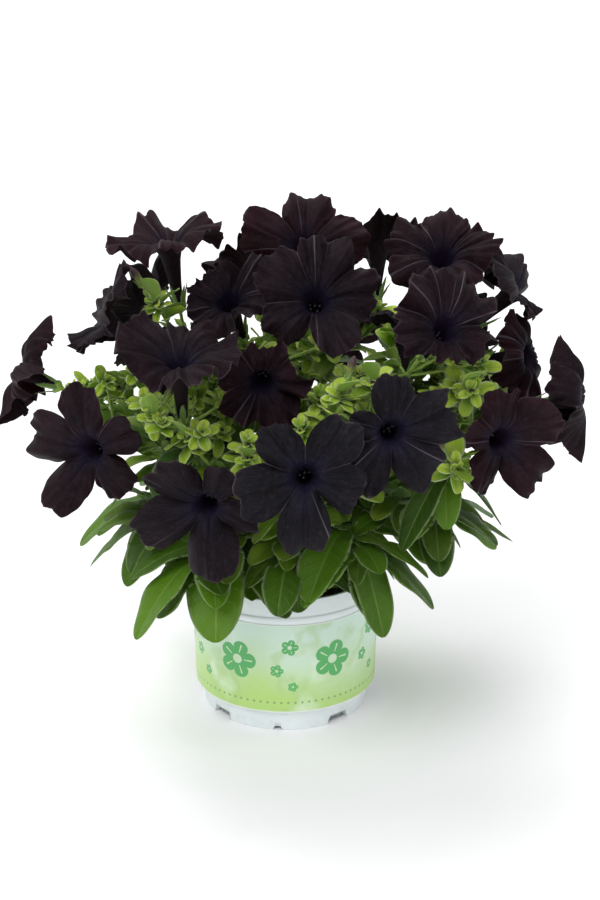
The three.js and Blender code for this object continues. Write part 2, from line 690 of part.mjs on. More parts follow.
// ---- assembly ----
const TRIES = 10;
const SPARE = 0.7; // a leaf is tried this much thicker, so that it ends clear of its neighbours
const solids = new Map([
  ["pot", [pot()]],
  ["label", [label()]],
  ["soil", [soil(feet)]],
]);
BLOOMS.forEach((bloom, i) => solids.set("bloom_" + bloom.name, [corolla(bloom, i)]));
paths.forEach(({ node }) => solids.set(node, []));
BLOOMS.forEach((bloom) => solids.get(paths.get(bloom.name).node).push(stemBody(bloom)));
youngPaths.forEach(({ node, curve }) => solids.get(node).push(stalkBody(curve, SHOOT_R.young)));
lowPaths.forEach(({ node, curve }) => solids.get(node).push(stalkBody(curve, SHOOT_R.low)));
const stalkCount = new Map([...solids].map(([name, list]) => [name, list.length]));

const boxes = new Map();
function boxOf(solid) {
  if (!boxes.has(solid)) boxes.set(solid, solid.boundingBox());
  return boxes.get(solid);
}
const boxesMeet = (a, b) => [0, 1, 2].every((k) => a.min[k] < b.max[k] && b.min[k] < a.max[k]);
const meets = (a, b) => boxesMeet(boxOf(a), boxOf(b)) && !a.intersect(b).isEmpty();

// A leaf grows at its first try that crosses neither another node nor another leaf, or is left off.
function growLeaf({ node, grow }) {
  for (let attempt = 0; attempt < TRIES; attempt++) {
    const leaf = grow(attempt);
    const trial = leafBody(leaf, LEAF_THICK + SPARE);
    const blocked = [...solids].some(([name, list]) => {
      const others = name === node ? list.slice(stalkCount.get(node)) : list;
      return others.some((solid) => meets(trial, solid));
    });
    if (blocked) continue;
    solids.get(node).push(leafBody(leaf));
    return;
  }
}
FRONT_LEAVES.map(frontLeaf).forEach(growLeaf);
youngPaths.flatMap((path, i) => rosette(path, YOUNG_SHOOTS[i], i)).forEach(growLeaf);
lowPaths.flatMap((path, i) => lowLeaves(path, i)).forEach(growLeaf);
[...paths.values()].flatMap((path, i) => stemLeaves(path, i)).forEach(growLeaf);

const FINISHES = {
  pot: WHITE_PLASTIC,
  label: LABEL_FILM,
  soil: DARK_SOIL,
  bloom: PETAL_BLACK,
  stem: LEAF_GREEN,
};
const plant = new THREE.Group();
for (const [name, list] of solids) {
  plant.add(piece(name, Manifold.union(list), FINISHES[name.split("_")[0]]));
}

export default plant;
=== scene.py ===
# %% [markdown]
# # A black-flowered petunia in a white nursery pot
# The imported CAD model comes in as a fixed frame. It says where the pot, the stems and the blooms are.
# Everything here only dresses it: finer petals and leaves in the same places, hairs, veins and finishes.
# The camera is made first, so that each later step can be looked at from the photograph's own angle.
# It is a plain perspective camera in front of the pot that looks a little down.

# %% The frame and the camera
import json
import math

import bpy
import numpy as np
from mathutils.kdtree import KDTree
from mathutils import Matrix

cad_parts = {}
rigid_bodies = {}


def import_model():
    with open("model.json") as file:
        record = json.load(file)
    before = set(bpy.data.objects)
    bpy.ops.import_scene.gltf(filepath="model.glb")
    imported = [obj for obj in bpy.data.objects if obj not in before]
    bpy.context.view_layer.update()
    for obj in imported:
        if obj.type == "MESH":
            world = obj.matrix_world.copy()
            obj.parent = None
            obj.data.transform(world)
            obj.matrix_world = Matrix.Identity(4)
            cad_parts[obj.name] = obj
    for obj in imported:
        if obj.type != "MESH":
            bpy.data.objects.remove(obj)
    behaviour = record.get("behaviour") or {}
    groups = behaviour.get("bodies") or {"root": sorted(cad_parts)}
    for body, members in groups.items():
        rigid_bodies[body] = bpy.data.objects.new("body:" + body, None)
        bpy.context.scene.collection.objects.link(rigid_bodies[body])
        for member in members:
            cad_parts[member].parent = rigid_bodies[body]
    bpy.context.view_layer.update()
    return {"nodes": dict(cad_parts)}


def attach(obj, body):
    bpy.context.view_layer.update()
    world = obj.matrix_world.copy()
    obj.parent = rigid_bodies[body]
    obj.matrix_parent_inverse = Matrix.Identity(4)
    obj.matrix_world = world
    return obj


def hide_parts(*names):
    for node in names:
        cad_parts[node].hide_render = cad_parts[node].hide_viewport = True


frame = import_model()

MM = 0.001
CAMERA_AT = (0.0093, -1.0, 0.525)
CAMERA_LENS = 68.56
LOOKS_DOWN = 19.7

camera = bpy.data.objects.new("camera", bpy.data.cameras.new("camera"))
camera.data.lens = CAMERA_LENS
camera.location = CAMERA_AT
camera.rotation_euler = (math.radians(90 - LOOKS_DOWN), 0, 0)
bpy.context.scene.collection.objects.link(camera)
bpy.context.scene.camera = camera
print("CAD nodes:", len(frame["nodes"]))

# %% [markdown]
# ## Numbers that repeat
# A plant needs hundreds of small differences, and they must be the same on every run.
# The CAD source draws its numbers from a formula of three whole numbers, so the same formula is written
# here: with it each CAD leaf can be found again and made finer in its own place.
# All lengths below are millimetres. They become metres only where a mesh is made.

# %% Draws and directions
GOLDEN = 137.5


def chance(a, b, c):
    """A number from 0 to 1 that the same three whole numbers always give again."""
    value = math.sin(a * 127.1 + b * 311.7 + c * 74.7) * 43758.5453
    return value - math.floor(value)


def spread(a, b, c):
    """The same from -1 to 1."""
    return 2 * chance(a, b, c) - 1


def point(*values):
    return np.array(values, float)


UP = point(0, 0, 1)


def unit(vector):
    return vector / np.linalg.norm(vector, axis=-1, keepdims=True)


def mix(a, b, share):
    return a + (b - a) * share


def facing(az, el):
    """The direction with compass angle az and height el, in degrees. An az of -90 is the front."""
    level = math.cos(math.radians(el))
    return point(level * math.cos(math.radians(az)), level * math.sin(math.radians(az)),
                 math.sin(math.radians(el)))


print("first draws:", round(chance(1, 1, 1), 6), round(chance(2, 1, 1), 6))

# %% [markdown]
# ## One mesh from many closed skins
# Blender can make a mesh from lists of points and faces. Thousands of petals, leaves and hairs as single
# objects would be slow, so each leafy stem and each bloom gathers its skins and becomes one object.
# Every skin is closed, because the meshes are a result of their own. Each point also carries two notes,
# which the materials read: where it lies on its leaf or petal, and how old or dark that leaf is.

# %% A gatherer of skins
def volume(points, faces):
    """The room inside closed skins. It is negative where their faces point inward."""
    near = points - points.mean(axis=0)
    total = 0.0
    for array in faces:
        for i in range(1, array.shape[1] - 1):
            a, b, c = near[array[:, 0]], near[array[:, i]], near[array[:, i + 1]]
            total += np.einsum("ij,ij->", a, np.cross(b, c)) / 6
    return total


class Gathered:
    """Collects skins and makes one mesh of them."""

    def __init__(self):
        self.points = []
        self.notes = []
        self.growths = []
        self.faces = {3: [], 4: []}
        self.slots = {3: [], 4: []}
        self.count = 0

    def add(self, points, faces, slot, notes=(0, 0, 0), growth=(0, 0, 0)):
        """faces is a list of arrays, each with three or four columns. slot is the material's number."""
        points = points.reshape(-1, 3)
        outward = volume(points, faces) > 0
        for array in faces:
            sides = array.shape[1]
            array = array if outward else array[:, ::-1]
            self.faces[sides].append(array + self.count)
            self.slots[sides].append(np.full(len(array), slot))
        self.points.append(points)
        self.notes.append(np.broadcast_to(np.asarray(notes, float).reshape(-1, 3), points.shape))
        self.growths.append(np.broadcast_to(np.asarray(growth, float).reshape(-1, 3), points.shape))
        self.count += len(points)

    def build(self, name, materials):
        mesh = bpy.data.meshes.new(name)
        points = np.concatenate(self.points) * MM
        mesh.vertices.add(len(points))
        mesh.vertices.foreach_set("co", points.ravel())
        lists = [np.concatenate(self.faces[n]) for n in (3, 4) if self.faces[n]]
        starts = np.concatenate([np.full(len(faces), faces.shape[1]) for faces in lists])
        mesh.loops.add(int(starts.sum()))
        mesh.loops.foreach_set("vertex_index", np.concatenate([faces.ravel() for faces in lists]))
        mesh.polygons.add(len(starts))
        mesh.polygons.foreach_set("loop_start", np.concatenate([[0], np.cumsum(starts)[:-1]]))
        slots = np.concatenate([np.concatenate(self.slots[n]) for n in (3, 4) if self.slots[n]])
        mesh.polygons.foreach_set("material_index", slots)
        mesh.update(calc_edges=True)
        mesh.shade_smooth()
        for title, parts in (("place", self.notes), ("growth", self.growths)):
            layer = mesh.attributes.new(title, "FLOAT_VECTOR", "POINT")
            layer.data.foreach_set("vector", np.concatenate(parts).ravel())
        for material in materials:
            mesh.materials.append(material)
        made = bpy.data.objects.new(name, mesh)
        bpy.context.scene.collection.objects.link(made)
        return made


def lofted(rows, around, capped=True):
    """The faces of a tube of rings, with a fan of triangles over both ends where it is capped."""
    number = np.arange(rows * around).reshape(rows, around)
    after = np.roll(number, -1, axis=1)
    quads = np.stack([number[:-1], after[:-1], after[1:], number[1:]], axis=-1).reshape(-1, 4)
    if not capped:
        return [quads]
    steps = np.arange(1, around - 1)
    first = (rows - 1) * around
    low = np.stack([np.zeros_like(steps), steps + 1, steps], axis=-1)
    high = np.stack([np.full_like(steps, first), first + steps, first + steps + 1], axis=-1)
    return [quads, np.concatenate([low, high])]


print("a closed tube of 3 rings of 6 has", sum(len(part) for part in lofted(3, 6)), "faces")

# %% [markdown]
# ## Materials as expressions
# A material in Blender is a graph of nodes. Written as Python expressions it stays readable:
# a Wire is one output of a node, and +, -, * and / on wires add the Math nodes. Colours are mixed by Mix
# nodes, because a Math node would turn them grey. Every other node comes from one method, and one function
# ends every material.

# %% The wires of a material
class Wire:
    def __init__(self, tree, socket):
        self.tree = tree
        self.socket = socket

    def node(self, kind, settings, sockets, output=0):
        """Adds a node: its settings first, then the values or wires of its sockets."""
        made = self.tree.nodes.new(kind)
        for key, value in settings.items():
            setattr(made, key, value)
        for key, value in sockets.items():
            if isinstance(value, Wire):
                self.tree.links.new(value.socket, made.inputs[key])
            else:
                made.inputs[key].default_value = value
        return Wire(self.tree, made.outputs[output]) if made.outputs else None

    def note(self, title):
        """A note that the mesh carries at each of its points."""
        return self.node("ShaderNodeAttribute", {"attribute_name": title}, {}, "Vector")

    def maths(self, operation, *values):
        return self.node("ShaderNodeMath", {"operation": operation}, dict(enumerate(values)))

    def __add__(self, other):
        return self.maths("ADD", self, other)

    def __radd__(self, other):
        return self.maths("ADD", other, self)

    def __sub__(self, other):
        return self.maths("SUBTRACT", self, other)

    def __rsub__(self, other):
        return self.maths("SUBTRACT", other, self)

    def __mul__(self, other):
        return self.maths("MULTIPLY", self, other)

    def __rmul__(self, other):
        return self.maths("MULTIPLY", other, self)

    def __truediv__(self, other):
        return self.maths("DIVIDE", self, other)

    def __pow__(self, other):
        return self.maths("POWER", self, other)

    def size(self):
        return self.maths("ABSOLUTE", self)

    def sine(self):
        return self.maths("SINE", self)

    def wave(self):
        """A zigzag between 0 and 0.5 that returns after every 1."""
        return self.maths("PINGPONG", self, 0.5)

    def ease(self, low, high):
        """0 below low, 1 above high, and a smooth step between them. It falls where low is the larger."""
        sockets = {"Value": self, "From Min": low, "From Max": high}
        return self.node("ShaderNodeMapRange", {"interpolation_type": "SMOOTHSTEP"}, sockets)

    def between(self, one, two):
        """A mix of two colours, with this wire as the share of the second."""
        return self.node("ShaderNodeMix", {"data_type": "RGBA"}, {0: self, 6: one, 7: two}, 2)

    def parts(self):
        return [self.node("ShaderNodeSeparateXYZ", {}, {0: self}, i) for i in range(3)]

    def stretched(self, across, along):
        """A place pulled in two directions, so that noise on it runs in streaks."""
        sockets = {0: self, 1: (across, along, 0.0)}
        return self.node("ShaderNodeVectorMath", {"operation": "MULTIPLY"}, sockets)

    def noise(self, scale, detail, roughness):
        sockets = {"Vector": self, "Scale": scale, "Detail": detail, "Roughness": roughness}
        return self.node("ShaderNodeTexNoise", {}, sockets)

    def bump(self, strength, distance):
        sockets = {"Height": self, "Strength": strength, "Distance": distance}
        return self.node("ShaderNodeBump", {}, sockets)


def tint(code):
    """A linear colour from the six-figure code of a paint chart."""
    parts = [int(code[i:i + 2], 16) / 255 for i in (0, 2, 4)]
    linear = [p / 12.92 if p <= 0.04045 else ((p + 0.055) / 1.055) ** 2.4 for p in parts]
    return (*linear, 1.0)


def new_material(name):
    """An empty material and a wire with the object's own coordinates, in metres."""
    material = bpy.data.materials.new(name)
    material.use_nodes = True
    material.node_tree.nodes.clear()
    return material, Wire(material.node_tree, None).node("ShaderNodeTexCoord", {}, {}, "Object")


def finish(colour, roughness, relief, more, glow=None, share=0.0):
    """Ends a material: a Principled shader, with a share of Translucent where a glow's code is given."""
    sockets = {"Base Color": colour, "Roughness": roughness, **({"Normal": relief} if relief else {}), **more}
    surface = colour.node("ShaderNodeBsdfPrincipled", {}, sockets)
    if glow:
        through = colour.node("ShaderNodeBsdfTranslucent", {}, {"Color": tint(glow), "Normal": relief})
        surface = colour.node("ShaderNodeMixShader", {}, {0: share, 1: surface, 2: through})
    colour.node("ShaderNodeOutputMaterial", {}, {"Surface": surface})


print("tint of mid grey:", [round(v, 3) for v in tint("808080")])

# %% [markdown]
# ## The plant's plan
# These lists say where each bloom's throat is, where it faces and how it opens, and where side shoots end.
# They were set from the photograph, and the back was made up to match, because it does not show.
# The CAD source has the same lists, except that four blooms here open in another form or are turned a
# little: top_centre, centre_low, right_upper and front_centre. The smaller lists shape single blooms more.

# %% Sizes and lists of the plan
POT = {"height": 92, "rim": 60, "body_top": 58.6, "body_low": 57.2, "foot_top": 53.5, "foot": 52,
       "foot_z": 13, "wall": 1.6}
FLOOR_Z = 6
LABEL = {"low": 15.5, "high": 75, "thick": 0.5}
SOIL_Z = 82
STEM_R = 2.3
BRANCH_R = 1.6
PEDICEL_R = 1.1
SHOOT_R = {"young": 1.3, "low": 1.8}
TUBE = {"length": 27, "base": 2.6, "throat": 6.2, "sag": 6}
CALYX = {"back": 3.6, "front": 2.6, "root": 0.6, "root_r": 3.1, "tip": 14, "tip_r": 7.8, "sepal": 3.5}
CALYX_CUP = np.array([PEDICEL_R, 1.9, 3.4, 4.2, 4.0, 3.2])

# start and end: the angles between petal and tube at the throat and the rim; notch: the depth of the clefts;
# ruffle: the height of the waves in mm; tilt: how much the lobes' ends differ, in degrees
FORMS = {
    "open": {"start": 48, "end": 96, "notch": 0.3, "ruffle": 2.2, "tilt": 16},
    "funnel": {"start": 24, "end": 84, "notch": 0.2, "ruffle": 2.6, "tilt": 14},
    "deep": {"start": 42, "end": 94, "notch": 0.4, "ruffle": 1.8, "tilt": 14},
    "curled": {"start": 46, "end": 132, "notch": 0.32, "ruffle": 3.4, "tilt": 34},
}

CALM_RUFFLE = 2.2

# name, throat, compass direction, tilt, roll, petal length and form of each bloom,
# then the bloom whose stem its branch leaves, and the share of that stem's length where it does
BLOOM_ROWS = [
    ("top_back", (12, 12, 290), -90, 34, 14, 36, "open"),
    ("top_centre", (18, -56, 276), -88, 30, 4, 37, "funnel"),
    ("top_left", (-68, 4, 290), 150, 78, 20, 37, "funnel"),
    ("upper_left_inner", (-32, -24, 266), -112, 46, 50, 30, "funnel", "top_left", 0.5),
    ("left_rear", (-102, -40, 260), -178, 30, 30, 32, "open", "top_left", 0.4),
    ("left_wide", (-58, -88, 246), -100, 76, 8, 37, "funnel"),
    ("centre_low", (-12, -78, 237), -92, -12, 10, 26, "funnel", "left_wide", 0.45),
    ("left_low", (-110, -68, 192), -114, 2, 28, 38, "deep"),
    ("far_left", (-171, 42, 206), 176, 10, 12, 35, "curled", "left_low", 0.4),
    ("front_left", (-42, -118, 178), -100, -12, 60, 37, "deep"),
    ("front_centre", (12, -136, 201), -88, 10, 54, 38, "deep"),
    ("front_right", (58, -124, 222), -84, 6, 20, 36, "open"),
    ("right_upper", (88, -88, 268), -66, 32, 36, 34, "funnel"),
    ("right_back_turned", (70, -34, 256), 84, 64, 44, 26, "open", "right_upper", 0.55),
    ("right_crest", (92, -24, 292), -98, 52, 16, 33, "funnel", "right_upper", 0.5),
    ("right_shoulder", (136, -8, 270), -8, 36, 8, 33, "open"),
    ("right_rear_crest", (112, 36, 284), 40, 54, 24, 30, "curled", "right_shoulder", 0.5),
    ("right_low", (122, -82, 203), -66, 0, 22, 36, "open"),
    ("right_droop", (144, -14, 232), -30, 0, 48, 28, "curled", "right_low", 0.5),
    ("far_right", (172, -42, 214), -12, 0, 66, 37, "curled", "right_low", 0.6),
    ("back_top", (-20, 84, 258), 104, 42, 18, 36, "funnel"),
    ("back_crest", (58, 50, 281), 84, 54, 30, 32, "funnel", "top_back", 0.5),
    ("back_left", (-92, 66, 238), 142, 34, 52, 36, "open"),
    ("back_low_left", (-70, 116, 176), 118, 4, 62, 35, "deep", "back_left", 0.4),
    ("back_centre", (28, 135, 206), 84, 12, 34, 36, "open"),
    ("back_right", (104, 84, 232), 46, 30, 6, 36, "open"),
    ("back_low_right", (120, 98, 164), 40, 4, 44, 34, "open", "back_right", 0.4),
]
BLOOM_KEYS = ("name", "at", "az", "el", "roll", "petal", "form", "on", "from")
BLOOMS = [dict(zip(BLOOM_KEYS, row)) for row in BLOOM_ROWS]

# how long the five lobes are, where they differ: the first lobe is the one at the angle of the roll
LOBES = {
    "front_centre": (1.08, 0.84, 1.02, 1.08, 0.84),
    "front_left": (0.75, 0.98, 1.05, 1.02, 0.7),
    "front_right": (1.0, 0.85, 0.52, 0.86, 0.95),
    "right_low": (0.92, 0.8, 0.6, 0.82, 1.0),
    "left_low": (0.84, 1.0, 1.1, 1.0, 0.86),
    "left_rear": (0.9, 1.0, 1.0, 0.72, 0.66),
    "upper_left_inner": (1.0, 0.8, 0.76, 1.0, 1.0),
    "right_upper": (1.0, 1.0, 0.95, 0.6, 0.66),
    "right_shoulder": (1.0, 0.84, 0.92, 0.58, 0.5),
    "right_droop": (0.6, 0.94, 1.0, 1.0, 0.86),
    "right_crest": (1.0, 1.0, 1.0, 1.0, 0.9),
    "right_rear_crest": (0.82, 1.0, 0.82, 1.0, 0.92),
    "back_crest": (1.0, 0.94, 0.78, 0.9, 1.0),
    "far_left": (1.0, 1.05, 1.0, 0.82, 0.82),
}
EVEN_LOBES = (1, 1, 1, 1, 1)
# the seam that is cut deepest, as a number from 0 to 4
DEEP_SEAM = {"front_centre": 1, "front_left": 0, "front_right": 2, "left_low": 4, "right_low": 3,
             "top_centre": 4}
# how blue a bloom's black is, from wine red at 0 to blue-black at 1
BLUE = {"front_centre": 1.0, "front_left": 0.75, "front_right": 0.95, "top_centre": 0.6, "left_low": 0.45,
        "right_low": 0.15, "top_back": 0.0, "top_left": 0.1, "left_wide": 0.5, "right_upper": 0.45,
        "far_right": 0.5, "far_left": 0.2, "centre_low": 0.3, "right_crest": 0.3}
# how far a limb is bent up from its tube, in degrees, to stand clear of its neighbours
NOD = {"far_left": 14, "far_right": 8, "right_droop": 10}
# how far a throat stands back from the CAD's, in mm
SET_BACK = {"far_left": 6}

# the stem that a young shoot leaves, where, its end and the size of its leaves
YOUNG_SHOOTS = [
    ("left_low", 0.66, (-74, -80, 216), 22),
    ("front_left", 0.7, (-54, -88, 206), 21),
    ("centre_low", 0.4, (-34, -62, 216), 18),
    ("front_centre", 0.7, (32, -98, 236), 19),
    ("front_right", 0.72, (50, -88, 240), 19),
    ("front_left", 0.6, (-20, -104, 200), 17),
    ("top_left", 0.84, (-76, -22, 268), 20),
    ("left_low", 0.5, (-96, -44, 224), 18),
    ("right_upper", 0.7, (104, -72, 230), 20),
    ("right_low", 0.7, (98, -92, 188), 24),
    ("right_droop", 0.6, (131, 3, 220), 22),
    ("back_left", 0.72, (-94, 84, 206), 21),
    ("back_centre", 0.7, (-8, 108, 222), 21),
    ("back_right", 0.7, (74, 104, 214), 21),
    ("back_low_right", 0.66, (146, 62, 190), 20),
    ("far_left", 0.7, (-124, 40, 188), 20),
]
LOW_SHOOTS = [
    ("left_low", 0.3, (-78, -34, 132)),
    ("front_left", 0.3, (-52, -70, 124)),
    ("front_centre", 0.3, (2, -76, 124)),
    ("front_right", 0.3, (44, -76, 134)),
    ("right_low", 0.34, (88, -54, 150)),
    ("right_shoulder", 0.2, (88, 24, 126)),
    ("back_right", 0.24, (54, 76, 122)),
    ("back_centre", 0.26, (-2, 88, 120)),
    ("back_left", 0.26, (-60, 66, 122)),
    ("top_left", 0.2, (-86, 18, 124)),
]

# the leaves that hang at the front: tip, the place that the leaf comes from, and width
FRONT_LEAVES = [
    ((-121, -15, 96), (-84, -34, 128), 33),
    ((-101, -46, 100), (-80, -40, 124), 17),
    ((-75, -84, 92), (-58, -70, 124), 27),
    ((-37, -96, 86), (-34, -66, 126), 33),
    ((9, -94, 100), (-18, -72, 124), 20),
    ((11, -104, 108), (38, -80, 138), 21),
    ((17, -92, 92), (22, -76, 124), 18),
    ((52, -88, 93), (34, -74, 126), 22),
    ((58, -98, 86), (48, -78, 130), 19),
    ((55, -106, 130), (56, -88, 160), 15),
    ((88, -82, 97), (62, -72, 134), 25),
    ((67, -104, 143), (66, -84, 170), 16),
    ((93, -94, 152), (86, -74, 172), 15),
    ((91, -88, 120), (92, -58, 148), 18),
    ((127, -54, 124), (92, -56, 152), 24),
    ((136, -30, 120), (106, -40, 150), 14),
    ((128, -62, 142), (98, -64, 170), 20),
    ((-107, -24, 138), (-80, -30, 158), 18),
    ((-108, -52, 196), (-70, -62, 186), 27),
    ((-66, -96, 170), (-62, -72, 196), 24),
]
print("blooms:", len(BLOOMS), "young shoots:", len(YOUNG_SHOOTS), "low shoots:", len(LOW_SHOOTS))

# %% [markdown]
# ## The velvet of the petals
# A black petunia is really a very deep wine red or violet. Its petals are velvety: fine threads run to the
# throat, pale lines along the folds and the rim are partly grey down and partly painted highlight, blue-grey
# streaks at the throat are partly violet and partly painted sheen, and light that comes through glows
# crimson.
# A Principled shader with hardly any gloss gives the velvet, and a share of Translucent gives the glow.
# The colour varies with the place on the petal, which the mesh carries in its notes.

# %% Petal finish
def petal_finish():
    material, spot = new_material("petal_velvet")
    place = spot.note("place")
    across, along, line = place.parts()
    blue, under, _ = spot.note("growth").parts()
    cloudy = spot.noise(55.0, 4.0, 0.6)
    brushed = place.stretched(9.0, 0.7).noise(2.4, 4.0, 0.7) + cloudy * 0.3 - 0.15
    grain = spot.noise(900.0, 3.0, 0.6)
    fan = ((across * 6.0 + (cloudy - 0.5) * 0.9).wave() * 2.0).ease(0.0, 0.3)
    # down: pale grey on the fold crests and seams, partly real down and partly painted highlight
    down = line.ease(0.42, 0.95) * brushed.ease(0.3, 0.58) * along.ease(0.0, 0.35)
    strands = place.stretched(30.0, 1.6).noise(3.0, 3.0, 0.65)
    threads = (strands + brushed * 0.4).ease(0.62, 0.95) * along.ease(0.02, 0.3)
    deep = blue.between(tint("0d0508"), tint("040405"))
    soft = blue.between(tint("2a0f16"), tint("0f0f15"))
    wine = (cloudy * 0.8 + along * 0.3).ease(0.3, 0.85).between(deep, soft)
    # rays: blue-grey streaks out from the throat, partly the petal's violet and partly painted sheen
    rays = brushed.ease(0.4, 0.75) * along.ease(0.6, 0.08) * along.ease(-0.12, 0.1)
    throat_violet_and_painted_sheen = (rays * 0.7).between(wine, tint("24243c"))
    mouth = (along.ease(0.36, -0.05) * 0.8).between(throat_violet_and_painted_sheen, tint("1b172b"))
    front = ((1.0 - fan) * along.ease(0.9, 0.2) * 0.3).between(mouth, tint("060408"))
    back = (brushed * 0.6 + cloudy * 0.5).ease(0.3, 0.8).between(tint("0e0a0c"), tint("261c22"))
    ribbed = ((1.0 - fan) * 0.4).between(back, tint("120b10"))
    threaded = (threads * 0.38).between(under.between(front, ribbed), tint("3a333b"))
    mottle = spot.noise(420.0, 3.0, 0.7).ease(0.46, 0.76) * 0.2
    mottled = mottle.between(threaded, tint("463d45"))
    # pale grey on the crest lines: partly down, partly painted highlight
    down_and_painted_crest_highlight = (down * 0.85).between(mottled, tint("6f6873"))
    # the rim, paler in patches: painted rim highlight
    painted_rim_highlight = (along.ease(0.965, 1.0) * cloudy.ease(0.42, 0.64) * 0.65).between(down_and_painted_crest_highlight, tint("57494f"))
    relief = (fan * 0.3 + grain * 0.3 + cloudy * 0.5 + brushed * 0.5 + threads * 0.3).bump(0.55, 0.0008)
    velvet = {"Specular IOR Level": 0.08, "Sheen Weight": 0.02, "Sheen Roughness": 0.25,
              "Sheen Tint": tint("a9a0b8")}
    finish(painted_rim_highlight, 0.42 + grain * 0.2 + under * 0.1, relief, velvet, "8c1228", 0.2 - blue * 0.16)
    return material


PETAL = petal_finish()
print("made", PETAL.name)

# %% [markdown]
# ## The throat's parts
# Deep in each tube five stamens stand round a stigma. They are tiny and dark, but their heads catch a
# little light in the throat, so each gets a thin stalk and a rounded head instead of a dot of colour.

# %% Stamen finish
def plain_finish(name, low, high, roughness, scale):
    """A mottle between two colours, for parts too small for more."""
    material, spot = new_material(name)
    mottled = spot.noise(scale, 4.0, 0.6)
    colour = mottled.ease(0.3, 0.7).between(tint(low), tint(high))
    finish(colour, roughness + mottled * 0.15, mottled.bump(0.3, 0.0003), {})
    return material


ANTHER = plain_finish("anther_pollen", "1d1c26", "484a52", 0.6, 1800.0)
STALK = plain_finish("filament", "24182a", "3a3034", 0.5, 900.0)
PETAL_SLOT, ANTHER_SLOT, STALK_SLOT = range(3)
print("made", ANTHER.name, STALK.name)

# %% [markdown]
# ## The corolla
# A petunia's flower is one piece: a narrow tube that opens into five fused lobes. A modeller could sculpt
# one bloom and copy it, but twenty-seven equal blooms would look made. Here every bloom is worked out on a
# fine net of places. Each place has two numbers: phi, the angle round the corolla in degrees, and s, which
# runs from 0 at the throat to 1 at the rim. Each feature draws its chances from a row of its own.
# The outline comes first: lobes of unequal length, the clefts between them, and a nibbled rim.

# %% The outline of a corolla
LOBES_ROUND = 5
LOBE_TURN = 360 / LOBES_ROUND
TURN = 6.3
# the rows of draws; those of "length" and "tilt" are the rows that the CAD source uses
ROW = {"length": 1, "tilt": 2, "seam_crest": 14, "scallops": 15, "teeth": 16, "sway": 17, "frills": 18,
       "fine_frills": 19, "bend": 21, "ridge": 22, "cleft": 23, "fold_place": 24, "fold": 25,
       "fold_width": 26, "nicks": 27, "creases": 28, "twist": 29, "seam": 31}


def bloom_frame(bloom):
    """The tube's foot and throat and the directions that the bloom is built on."""
    throat = point(*bloom["at"])
    out = facing(bloom["az"], bloom["el"])
    side = facing(bloom["az"] + 90, 0)
    base = throat - out * TUBE["length"] - UP * TUBE["sag"]
    along = unit(throat - base)
    over = unit(np.cross(along, side))
    throat = throat - out * SET_BACK.get(bloom["name"], 0)
    nod = math.radians(NOD.get(bloom["name"], 0))
    out = out * math.cos(nod) + np.cross(out, side) * math.sin(nod)
    return {"throat": throat, "out": out, "side": side, "top": np.cross(out, side),
            "base": base, "along": along, "over": over}


def waves(phi, index, row, counts):
    """A wavy line round the corolla: whole numbers of waves, equally strong and each in its own phase."""
    return sum(np.sin(np.radians(count * phi) + TURN * chance(index, row, count)) for count in counts)


def crest(away, width):
    """A sharp fold: 1 on its line, falling to 0 on both sides."""
    return np.exp(-np.sqrt((away / width) ** 2 + 0.01))


def lobes_at(bloom, index, phi):
    """The lobe and the seam nearest to phi, the place across the lobe from -1 to 1, and a way to draw."""
    turn = ((phi - bloom["roll"]) / LOBE_TURN + 0.5) % LOBES_ROUND
    lobe = np.floor(turn).astype(int)
    seam = np.floor(turn + 0.5).astype(int) % LOBES_ROUND

    def drawn(feature, where):
        return np.array([spread(index, k, ROW[feature]) for k in range(LOBES_ROUND)])[where]

    return lobe, seam, 2 * (turn - lobe) - 1, drawn


def limb_length(bloom, index, phi, s):
    """How long the petal is at phi: unequal lobes, clefts between them, and a scalloped and nicked rim."""
    form = FORMS[bloom["form"]]
    wild = form["ruffle"] / CALM_RUFFLE
    lobe, seam, across, drawn = lobes_at(bloom, index, phi)
    aside = np.abs(across)
    lengths = np.array(LOBES.get(bloom["name"], EVEN_LOBES))
    own, beside = lengths[lobe], lengths[(lobe + np.sign(across).astype(int)) % LOBES_ROUND]
    size = mix(own, (own + beside) / 2, aside ** 3)
    plain = form["notch"] * (1.5 + 0.5 * drawn("cleft", seam)) * aside ** 3
    deepest = seam == DEEP_SEAM.get(bloom["name"], -1)
    cleft = np.where(deepest, 0.7 * aside ** 1.9, plain)
    notch = 1 - cleft - 0.06 * s * np.exp(-(across / 0.14) ** 2)
    teeth = np.abs(waves(phi, index, ROW["teeth"], (13, 19))) - 0.8
    rim = 1 + s ** 3 * (0.026 * waves(phi, index, ROW["scallops"], (8, 17)) - 0.015 * wild * teeth)
    rim = rim - 0.01 * wild * s ** 6 * np.abs(waves(phi, index, ROW["nicks"], (31, 43)))
    return bloom["petal"] * size * notch * (1 + 0.07 * drawn("length", lobe) * (1 - across * across)) * rim


longest = limb_length(BLOOMS[0], 0, np.arange(360.0), np.ones(360)).max()
print("longest lobe of the first bloom in mm:", round(float(longest), 1))

# %% [markdown]
# The formula of the CAD source lays each petal's slope from the throat to the rim, here in eight steps.
# A displacement texture could add the ruffles, but it would know nothing of lobes and seams. So the relief
# is a sum of features: slow waves, a crease along each lobe, crests on the seams, sharp folds and frills.

# %% The relief of a corolla
# how far each feature moves the petal off its plain form, in mm
RISE = {"seam": 3.6, "sway": 1.3, "ridge": 5.0, "pillow": 0.9, "midrib": 0.9, "hollow": 2.2, "crease": 0.34,
        "twist": 0.7, "frills": 1.1, "fine_frills": 0.6, "fold": 3.4}
SLOPE_STEPS = 8
FOLDS = 9


